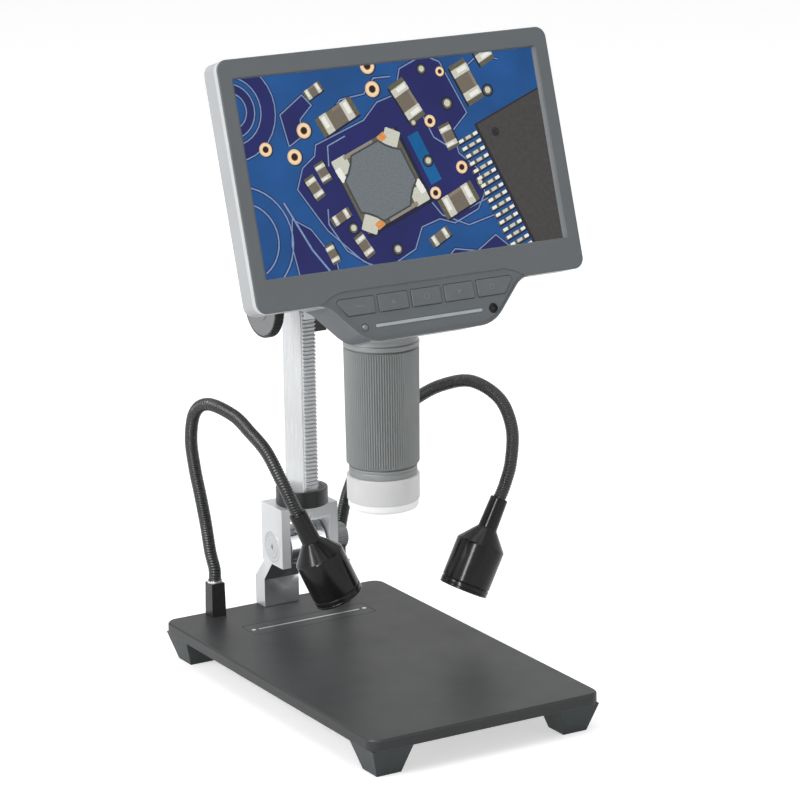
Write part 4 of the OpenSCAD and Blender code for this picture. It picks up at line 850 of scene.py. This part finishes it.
def bezel_face():
    """The flat face. It stops at the pocket round the keys, and the panel below lies deeper."""
    shoulder_h, shoulder_points, low = 0.6, 4, -SCR_LOW + RIM
    shoulder = [p for p in panel_side(RIM) if p[1] > low - shoulder_h][:shoulder_points]
    right = [(POCKET_SIDE, POCKET_V), (POCKET_SIDE + 5.5, POCKET_V - 1.7)] + shoulder[::-1]
    face = mirrored(right) + right + housing_corners(RIM)
    window = rounded(picture_frame(SLOPE_X, SLOPE_Y), 0.8)
    return plate("bezel_face", [face, window], 0.3, BEZEL_T, 0.5, "bezel")


def bezel_panel():
    """The key panel with its holes for the keys, the lights and the trim."""
    under, past_pocket, past_panel, edge, shoulder_points = 1.2, 2, 4, 0.16, 4
    side = panel_side(RIM)[shoulder_points:]
    right = [(POCKET_SIDE + past_pocket, POCKET_V + under),
             (PANEL_TOP_W / 2 + past_panel, -SCR_LOW + RIM + under)] + side
    holes = [key_outline(n, KEY_GAP) for n in KEY_NUMBERS]
    holes += [circle(*LIGHT, 1.65), circle(*REMOTE, 2.3)]
    holes.append(pill_outline(0, LIGHT[1], TRIM_W + 0.2, TRIM_H + 0.2))
    return plate("bezel_panel", [right + mirrored(right)] + holes, 0.05, FACE_Z, edge, "bezel")


def bezel_slope():
    """Slope from the face down to the picture."""
    edge, foot = 0.2, picture_frame(0.05, 0.02)
    loops = [(picture_frame(SLOPE_X + edge, SLOPE_Y + edge), BEZEL_T - 0.35),
             (picture_frame(SLOPE_X, SLOPE_Y), BEZEL_T - 0.5), (foot, 0.05), (foot, -0.06)]
    return band("bezel_slope", loops, "bezel")


def housing_edge():
    """Quarter round between the face and the housing's side."""
    loops = []
    steps, overlap, sunk = 6, 0.5, 0.02
    for k in range(steps + 1):
        a = math.radians(90 * k / steps)
        loops.append((housing_outline(RIM * (1 - math.cos(a))), BEZEL_T - RIM + RIM * math.sin(a)))
    loops.append((housing_outline(RIM + overlap), BEZEL_T - sunk))
    return band("housing_edge", loops, "bezel")


def housing_strip():
    """Bright strip round the housing's side, with the bezel's darker colour along the panel's flanks as
    painted shade.
    """
    proud, inside, edge = 0.03, 0.3, 0.1
    loops = [(housing_outline(inside), STRIP_LOW), (housing_outline(-proud), STRIP_LOW + edge),
             (housing_outline(-proud), STRIP_HIGH), (housing_outline(inside), STRIP_HIGH + edge)]
    return partly(band("housing_strip", loops, "rim"), "bezel", on_painted_shade_flank)


def make_bezel():
    stands_for(bezel_face(), "front_bezel")
    for piece in (bezel_panel(), bezel_slope(), housing_edge(), housing_strip()):
        dress(piece, BODY["front_bezel"], SLOT["front_bezel"])


def make_keys():
    """Each key with its sign in low relief, and a black band sunk in the gap round it as painted shade."""
    key_low, key_proud, key_edge, mark_proud, mark_t, mark_edge = -2.6, 0.45, 0.4, 0.5, 0.14, 0.03
    gap_outer, gap_inner, gap_sunk = 0.5, 0.02, 0.7
    for n in KEY_NUMBERS:
        node = "key_%d" % (n + 3)
        cap = plate(node + "_cap", [key_outline(n, 0.0, 0.5)], key_low, FACE_Z + key_proud, key_edge, "key")
        stands_for(cap, node)
        top = FACE_Z + mark_proud
        mark = plate(node + "_mark", key_mark(n), top - mark_t, top, mark_edge, "mark")
        dress(mark, BODY[node], SLOT[node])
        # A black band sunk in the gap round the key: painted shade
        loops = [(key_outline(n, grow), FACE_Z - gap_sunk) for grow in (gap_outer, gap_inner)]
        dress(band(node + "_gap", loops, "rubber_black"), BODY["front_bezel"], SLOT["front_bezel"])


def key_mark(n):
    """A plain sign: line, up, ring, down and square."""
    outer_x = KEY_OUT + KEY_OUT_W / 2 - 2
    line_w, line_h, side, foot, tip, ring_r, ring_t, square = 2.4, 0.3, 1.4, 0.9, 1.2, 1.5, 0.45, 1.2
    signs = {
        -2: [rectangle(-line_w, -line_h, line_w, line_h)],
        -1: [[(-side, -foot), (side, -foot), (0, tip)]],
        0: [circle(0, 0, ring_r), circle(0, 0, ring_r - ring_t)],
        1: [[(-side, foot), (0, -tip), (side, foot)]],
        2: [rectangle(-s, -s, s, s) for s in (square, square - 0.4)],
    }
    cx = n * KEY_PITCH if abs(n) < 2 else math.copysign(outer_x, n)
    return [[(cx + x, KEY_V + y) for x, y in outline] for outline in signs[n]]


def quarter(r, foot, height):
    """Profile of a dome, from its rim to its top."""
    turns = [math.radians(a) for a in range(0, 91, 15)]
    return [(r * math.cos(a), foot + height * math.sin(a)) for a in turns]


def make_panel_lights():
    """Pale trim strip, indicator light and remote window."""
    sunk, proud, edge, back = 0.7, 0.08, 0.2, -0.2
    trim = [pill_outline(0, LIGHT[1], TRIM_W, TRIM_H)]
    stands_for(plate("trim_strip_lens", trim, FACE_Z - sunk, FACE_Z + proud, edge, "trim"), "trim_strip")
    light_r, window_r = 1.5, 2.2
    light = [(0, back), (light_r, back)] + quarter(light_r, FACE_Z - 0.35, 0.95)
    window = [(0, back), (window_r, back), (window_r, FACE_Z - 0.05), (window_r - 0.25, FACE_Z + proud),
              (window_r - 0.6, FACE_Z - 0.1)] + quarter(window_r - 0.7, FACE_Z - 0.5, 0.55)
    for name, node, profile, key, centre in (
            ("indicator_dome", "indicator_light", light, "indicator", LIGHT),
            ("remote_dome", "remote_window", window, "dark_window", REMOTE)):
        place = SCREEN @ Matrix.Translation(Vector((*centre, 0)) * MM)
        stands_for(lathe(name, profile, key, place, 48), node)


def make_screen():
    to_screen = SCREEN.inverted()
    # The shell's faces on the panel's flanks get the bezel's darker colour: painted shade
    partly(softened("back_shell", "shell", 0.45, 2, 40), "bezel", lambda face: on_painted_shade_flank(face, to_screen))
    make_bezel()
    make_keys()
    make_panel_lights()
    softened("side_sockets", "steel", 0.1, 1)
    make_picture()


# The lit picture: a close view of a circuit board of our own drawing
BOARD_TURN = 20.0
PICTURE_BACK = -0.09
LAYER_STEP = 0.004


def turned(x, y, degrees):
    """A point turned round the middle."""
    c, s = math.cos(math.radians(degrees)), math.sin(math.radians(degrees))
    return x * c - y * s, x * s + y * c


class Drawing:
    """Flat shapes in layers on the screen, in the board's own turned coordinates."""

    def __init__(self, palette):
        self.bm = bmesh.new()
        self.palette = list(palette)
        self.level = 0

    def fill(self, points, key):
        z = PICTURE_BACK + LAYER_STEP * self.level
        places = [turned(x, y, BOARD_TURN) for x, y in points]
        face = self.bm.faces.new([self.bm.verts.new((x * MM, y * MM, z * MM)) for x, y in places])
        face.material_index = self.palette.index(key)
        face.normal_update()
        if face.normal.z < 0:
            face.normal_flip()

    def disc(self, x, y, r, key):
        self.fill(circle(x, y, r, 28), key)

    def slab(self, x, y, w, h, key, turn=0.0, radius=0.0):
        points = rectangle(-w / 2, -h / 2, w / 2, h / 2)
        if radius:
            points = rounded(points, radius)
        self.fill([(x + a, y + b) for a, b in (turned(*p, turn) for p in points)], key)

    def line(self, points, width, key):
        """A trace of even width with mitred corners."""
        left, right = [], []
        for i, (x, y) in enumerate(points):
            here = Vector((x, y))
            before = (here - Vector(points[i - 1])).normalized() if i else None
            after = (Vector(points[i + 1]) - here).normalized() if i < len(points) - 1 else None
            way = ((before or after) + (after or before)).normalized()
            flat = Vector((-way.y, way.x))
            stretch = 1.0
            if before and after:
                stretch = 1 / max(0.5, abs(flat.dot(Vector((-before.y, before.x)))))
            left.append(here + flat * width / 2 * stretch)
            right.append(here - flat * width / 2 * stretch)
        for i in range(len(points) - 1):
            self.fill([tuple(left[i]), tuple(right[i]), tuple(right[i + 1]), tuple(left[i + 1])], key)


def draw_via(d, x, y, r):
    """A plated hole, from its shadow up to the dark middle."""
    d.disc(x + 0.25, y - 0.25, r * 1.1, "shadow")
    rings = ((1.0, "copper"), (0.86, "copper_light"), (0.5, "copper_dark"), (0.4, "hole"))
    for share, key in rings:
        d.level += 1
        d.disc(x, y, r * share, key)
    d.level -= len(rings)


def draw_chip(d, x, y, w, h, turn):
    """A small two-ended part: pads, body and silver ends."""
    def part(across, along, wide, tall, key, radius=0.0):
        a, b = turned(across, along, turn)
        d.slab(x + a, y + b, w * wide, h * tall, key, turn, radius)

    part(0.3, -0.4, 1.2, 1.14, "shadow", 0.4)
    d.level += 1
    for side in (-1, 1):
        part(side * w * 0.52, 0, 0.2, 1.02, "solder_dark", 0.3)
    d.level += 1
    part(0, 0, 0.92, 1, "chip")
    part(0, h * 0.42, 0.5, 0.16, "chip_light")
    d.level += 1
    for side in (-1, 1):
        part(side * w * 0.36, 0, 0.24, 1.02, "solder", 0.25)
        d.level += 1
        part(side * w * 0.38, h * 0.1, 0.12, 0.6, "shine", 0.2)
        d.level -= 1
    d.level -= 3


# Each colour of the picture, with the size of its mottling and its spread
PALETTE = {
    "board": ((22, 80, 142), 26, 0.2), "board_deep": ((30, 34, 98), 20, 0.18),
    "board_pale": ((30, 102, 158), 16, 0.14), "trace": ((124, 148, 190), 2, 0.16),
    "trace_edge": ((22, 34, 86), 3, 0.1), "shadow": ((22, 26, 56), 2, 0.2),
    "copper": ((232, 190, 144), 1, 0.12), "copper_light": ((250, 222, 180), 1, 0.08),
    "copper_dark": ((150, 96, 62), 1, 0.15), "hole": ((38, 20, 20), 1, 0.3),
    "solder": ((206, 206, 192), 0.8, 0.12), "solder_dark": ((98, 94, 76), 0.8, 0.35),
    "shine": ((240, 240, 232), 0.8, 0.05), "chip": ((116, 106, 94), 1.2, 0.1),
    "chip_light": ((148, 138, 124), 1.2, 0.1), "coil": ((112, 119, 122), 0.9, 0.16),
    "coil_edge": ((66, 72, 76), 1.5, 0.16), "case": ((70, 67, 66), 2.2, 0.14),
    "case_edge": ((42, 40, 42), 3, 0.1), "amber": ((222, 150, 84), 1.0, 0.25),
}


def draw_board(d):
    """The board from its bare fields up to the parts on it."""
    wide, tall, trace_edge = 95, 78, 0.9
    d.fill(rectangle(-wide, -tall, wide, tall), "board")
    d.level += 1
    for fields, key in ((DEEP_FIELDS, "board_deep"), (PALE_FIELDS, "board_pale")):
        for points in fields:
            d.fill(points, key)
    for wider, key in ((trace_edge, "trace_edge"), (0, "trace")):
        d.level += 1
        for width, points in TRACES:
            d.line(points, width + wider, key)
    d.level += 1
    for via in VIAS:
        draw_via(d, *via)
    for chip in CHIPS:
        draw_chip(d, *chip)
    for x, y, r in DOTS:
        d.disc(x, y, r * 1.35, "shadow")
        d.level += 1
        d.disc(x, y, r, "solder_dark")
        d.level += 1
        d.disc(x + 0.1, y + 0.1, r * 0.66, "solder")
        d.level -= 2
    draw_coil(d, -14.0, -3.0, 33.0)
    draw_case(d, 43.0, -3.0, 50.0, 70.0)


def make_picture():
    """The drawing, cut off a little way under the frame."""
    materials = {key: lit("picture_" + key, rgb(*tone), *drift) for key, (tone, *drift) in PALETTE.items()}
    d = Drawing(materials)
    draw_board(d)
    under = 1.2
    w, h = VIEW_W / 2 + under, VIEW_H / 2 + under
    for normal, reach in (((1, 0, 0), w), ((-1, 0, 0), w), ((0, 1, 0), h), ((0, -1, 0), h)):
        geometry = d.bm.verts[:] + d.bm.edges[:] + d.bm.faces[:]
        bmesh.ops.bisect_plane(d.bm, geom=geometry, plane_co=Vector(normal) * reach * MM, plane_no=normal,
                               clear_outer=True)
    piece = add_object("picture_board", as_mesh(d.bm, "picture_board"), list(materials.values()), SCREEN)
    dress(piece, BODY["lcd_panel"], "picture")


def draw_coil(d, x, y, w):
    """The large square part: a grey top with cut corners on a silver frame."""
    half = w / 2
    d.slab(x + 0.8, y - 1.0, w * 1.14, w * 1.14, "shadow", 0, 1.5)
    d.level += 1
    d.slab(x, y, w * 1.08, w * 1.08, "solder_dark", 0, 1.0)
    d.level += 1
    for sx in (-1, 1):
        for sy in (-1, 1):
            cx, cy = x + sx * half * 0.86, y + sy * half * 0.86
            d.slab(cx, cy, w * 0.24, w * 0.24, "solder", 45 if sx == sy else 0, 0.8)
    d.level += 1
    for side in (-half, half):
        d.slab(x + side * 0.62, y + side, w * 0.13, w * 0.1, "amber", 10, 0.5)
        d.slab(x - side, y + side * 0.66, w * 0.09, w * 0.2, "shine", 6, 0.5)
        d.slab(x + side * 0.2, y - side * 1.02, w * 0.5, w * 0.06, "chip_light", 0, 0.3)

    def top(share, cut):
        h, c, n = half * share, half * cut, half * 0.2
        points = []
        for sx, sy in ((1, -1), (1, 1), (-1, 1), (-1, -1)):
            corner = [(h - c, h), (h - c * 0.72, h - n), (h - n, h - c * 0.72), (h, h - c)]
            corner = [(x + sx * a, y + sy * b) for a, b in corner]
            points += corner if sx == -sy else corner[::-1]
        return points

    for share, cut, key in ((1.0, 0.52, "coil_edge"), (0.95, 0.5, "coil")):
        d.level += 1
        d.fill(top(share, cut), key)
    d.level -= 5


def draw_case(d, left, top, w, h):
    """The dark case at the right, with a row of bright pins along its left edge."""
    x, y = left + w / 2, top - h / 2
    d.slab(x - 1.4, y + 0.8, w, h, "case_edge", 0, 0.4)
    d.level += 1
    d.slab(x, y, w, h, "case", 0, 0.6)
    d.disc(left + 7, top - 7, 2.1, "case_edge")
    count, first, pitch, width, reach = 16, 3, 3.7, 1.75, 12.4
    for k in range(count):
        y = top - first - k * pitch
        d.slab(left - reach / 2 - 0.9, y - 0.35, reach, width + 0.7, "shadow")
        d.level += 1
        d.slab(left - 1.4 - reach / 2, y, reach - 1, width, "solder_dark", 0, 0.2)
        d.level += 1
        for out, length, key in ((2.9, 2.5, "shine"), (7.0, 3.0, "solder"), (11.2, 2.6, "shine")):
            d.slab(left - out, y + 0.1, length, width * 0.8, key, 0, 0.3)
        d.level -= 2
    d.level -= 1


def ring_part(cx, cy, r, a0, a1):
    return arc(cx, cy, r, a0, a1, 16)


# Places on the board, in its own turned coordinates: fields, traces with their width, holes with
# their radius, chips with their two sizes and their turn, and dots with their radius
DEEP_FIELDS = [
    [(-53, 12), (-46, 19), (-38, 21), (-35, 25), (-8, 24), (2, 28), (12, 27), (20, 36), (34, 36), (40, 30),
     (41, 4), (30, 0), (28, -10), (33, -20), (31, -31), (24, -36), (10, -36), (4, -31), (-6, -30), (-14, -37),
     (-32, -38), (-40, -30), (-49, -10)],
    [(-66, -70), (-58, -44), (-52, -24), (-56, -6), (-62, 2), (-68, -8), (-76, -40), (-84, -70)],
    [(-10, -50), (4, -46), (14, -52), (26, -50), (30, -58), (24, -74), (-14, -74)],
    [(-47, 30), (-40, 31), (-36, 38), (-28, 41), (-30, 47), (-44, 44)],
    ring_part(-65, 56, 22, -120, 60) + ring_part(-65, 56, 15, 60, -120),
    ring_part(-65, 56, 12, -120, 60) + ring_part(-65, 56, 8, 60, -120),
]
PALE_FIELDS = [[(8, 8), (14, 8), (14, -16), (8, -16)]]
TRACES = [(0.55, field + field[:1]) for field in DEEP_FIELDS] + [
    (0.7, ring_part(-88, 4, 24, -80, 60)),
    (0.7, ring_part(-88, 4, 17, -80, 60)),
    (0.6, [(-26, 31), (-14, 37), (-2, 34), (6, 38), (14, 35)]),
    (0.6, [(-44, -2), (-47, -8), (-45, -22), (-37, -34), (-30, -44), (-14, -46)]),
    (0.9, [(-62, 10), (-60, -14), (-54, -38), (-44, -52), (-26, -56)]),
    (0.6, [(20, 12), (20, 2), (24, -4)]),
    (0.6, [(4, -22), (6, -30), (16, -40), (30, -42)]),
    (0.6, [(8, -26), (12, -33), (31, -34)]),
    (0.6, [(50, 22), (60, 24), (68, 18)]),
    (0.6, [(-34, 14), (-30, 22), (-20, 22)]),
]
VIAS = [(-58, 34, 3.1), (-47, 25, 3.5), (-37, 33, 3.5), (6, 44, 3.6), (3, 34, 3.6), (22, 9, 2.8),
    (8, -20, 2.8), (26, -16, 2.9), (-13, -46, 3.2), (50, 32, 2.5), (38, 26, 2.2)]
CHIPS = [(-19, 31, 17, 9, 4), (16, 22, 16, 8.6, -84), (27, -1, 9.5, 6, 88), (17, -28, 16, 9.4, 2),
    (48, 16, 16, 9, -88), (62, 28, 15, 8.4, -86), (-45, 9, 9, 5.2, -84), (-38, 13, 7.6, 5, 92),
    (-40, -8, 8.6, 4.4, 4), (-36, -24, 9.2, 5, -82), (0, -38, 9, 4.8, 6), (-52, -20, 7.4, 4.2, 90),
    (-24, 46, 8, 4.6, 6)]
DOTS = [(-37, -15, 2.1), (-22, -33, 2.2), (12, -6, 2.1), (34, 12, 2.4), (30, 31, 2.0), (56, 8, 2.2),
    (14, 12, 1.5), (31, -26, 1.7)]


# Stage, light and camera
def seen_ray(tree):
    """One for rays of the camera, of gloss and through clear parts, and else zero."""
    ray = tree.nodes.new("ShaderNodeLightPath")
    value = ray.outputs["Is Camera Ray"]
    for name in ("Is Glossy Ray", "Is Transmission Ray"):
        more = tree.nodes.new("ShaderNodeMath")
        more.operation = "MAXIMUM"
        tree.links.new(value, more.inputs[0])
        tree.links.new(ray.outputs[name], more.inputs[1])
        value = more.outputs["Value"]
    return value


FLOOR_HALF = 3000.0
FLOOR_GLOW = 0.55
SKY_LIGHT = 0.44
SKY_SEEN = 1.0


def make_stage():
    mesh = bpy.data.meshes.new("floor")
    half = FLOOR_HALF * MM
    mesh.from_pydata([(x, y, 0) for x, y in rectangle(-half, -half, half, half)], [], [(0, 1, 2, 3)])
    paint = Paint("floor_white", (0.8, 0.8, 0.8, 1), 0.9, gloss=0.1, Emission_Color=(1, 1, 1, 1))
    paint.mottle(900, 0.01)
    glow = paint.node("ShaderNodeMath", operation="MULTIPLY")
    paint.link(seen_ray(paint.tree), glow.inputs[0])
    glow.inputs[1].default_value = FLOOR_GLOW
    paint.link(glow.outputs["Value"], paint.shader.inputs["Emission Strength"])
    floor = add_object("floor", mesh, paint.material)


def make_world():
    """White all round, which lights the object with less than what the camera sees."""
    world = bpy.data.worlds.new("studio")
    bpy.context.scene.world = world
    world.use_nodes = True
    tree = world.node_tree
    back = tree.nodes["Background"]
    level = tree.nodes.new("ShaderNodeMapRange")
    level.inputs["To Min"].default_value = SKY_LIGHT
    level.inputs["To Max"].default_value = SKY_SEEN
    tree.links.new(seen_ray(tree), level.inputs["Value"])
    tree.links.new(level.outputs["Result"], back.inputs["Strength"])
    back.inputs["Color"].default_value = (1, 1, 1, 1)


# Area lights: name, place and size in metres, watts, and the kind of ray that misses it
LIT_SPOT = Vector((0, 0, 0.15))
LIGHTS = [
    ("key_left", (-1.5, 0.0, 0.7), (0.8, 1.2), 17.5, "glossy"),
    ("strip_left", (-1.2, 0.05, 1.25), (0.35, 1.1), 28.0, "diffuse"),
    ("strip_front", (-1.33, -0.9, 0.85), (0.22, 1.1), 22.0, "diffuse"),
    ("overhead", (-0.1, -0.2, 1.7), (1.4, 1.4), 10.0, None),
    ("front_fill", (0.7, -1.9, 0.7), (1.2, 1.2), 3.5, None),
]


def make_lights():
    for name, place, size, watts, missed in LIGHTS:
        light = bpy.data.lights.new(name, "AREA")
        light.shape = "RECTANGLE"
        light.size, light.size_y = size
        light.energy = watts
        lamp = bpy.data.objects.new(name, light)
        bpy.context.scene.collection.objects.link(lamp)
        lamp.location = place
        lamp.rotation_euler = (LIT_SPOT - Vector(place)).to_track_quat("-Z", "Y").to_euler()
        if missed:
            setattr(lamp, "visible_" + missed, False)


CAMERA_PLACE = (-0.7636, -1.3292, 0.5466)
CAMERA_TURN = 30.371
CAMERA_DOWN = 14.797
CAMERA_ROLL = -0.869
CAMERA_LENS = 155.8
SENSOR_W = 36.0


def make_camera():
    data = bpy.data.cameras.new("camera")
    data.sensor_width = SENSOR_W
    data.lens = CAMERA_LENS
    data.clip_end = 20.0
    camera = bpy.data.objects.new("camera", data)
    bpy.context.scene.collection.objects.link(camera)
    place = Matrix.Translation(CAMERA_PLACE)
    for degrees, axis in ((-CAMERA_TURN, "Z"), (90 - CAMERA_DOWN, "X"), (CAMERA_ROLL, "Z")):
        place = place @ Matrix.Rotation(math.radians(degrees), 4, axis)
    camera.matrix_world = place
    bpy.context.scene.camera = camera


make_camera()
make_world()
make_lights()
make_stage()
paint_plain_nodes()
make_stand()
make_column()
make_carriage()
make_focus_ring()
make_crown()
make_tube()
make_light_cap()
make_lamps()
make_screen()
bpy.context.scene.view_settings.view_transform = "Standard"
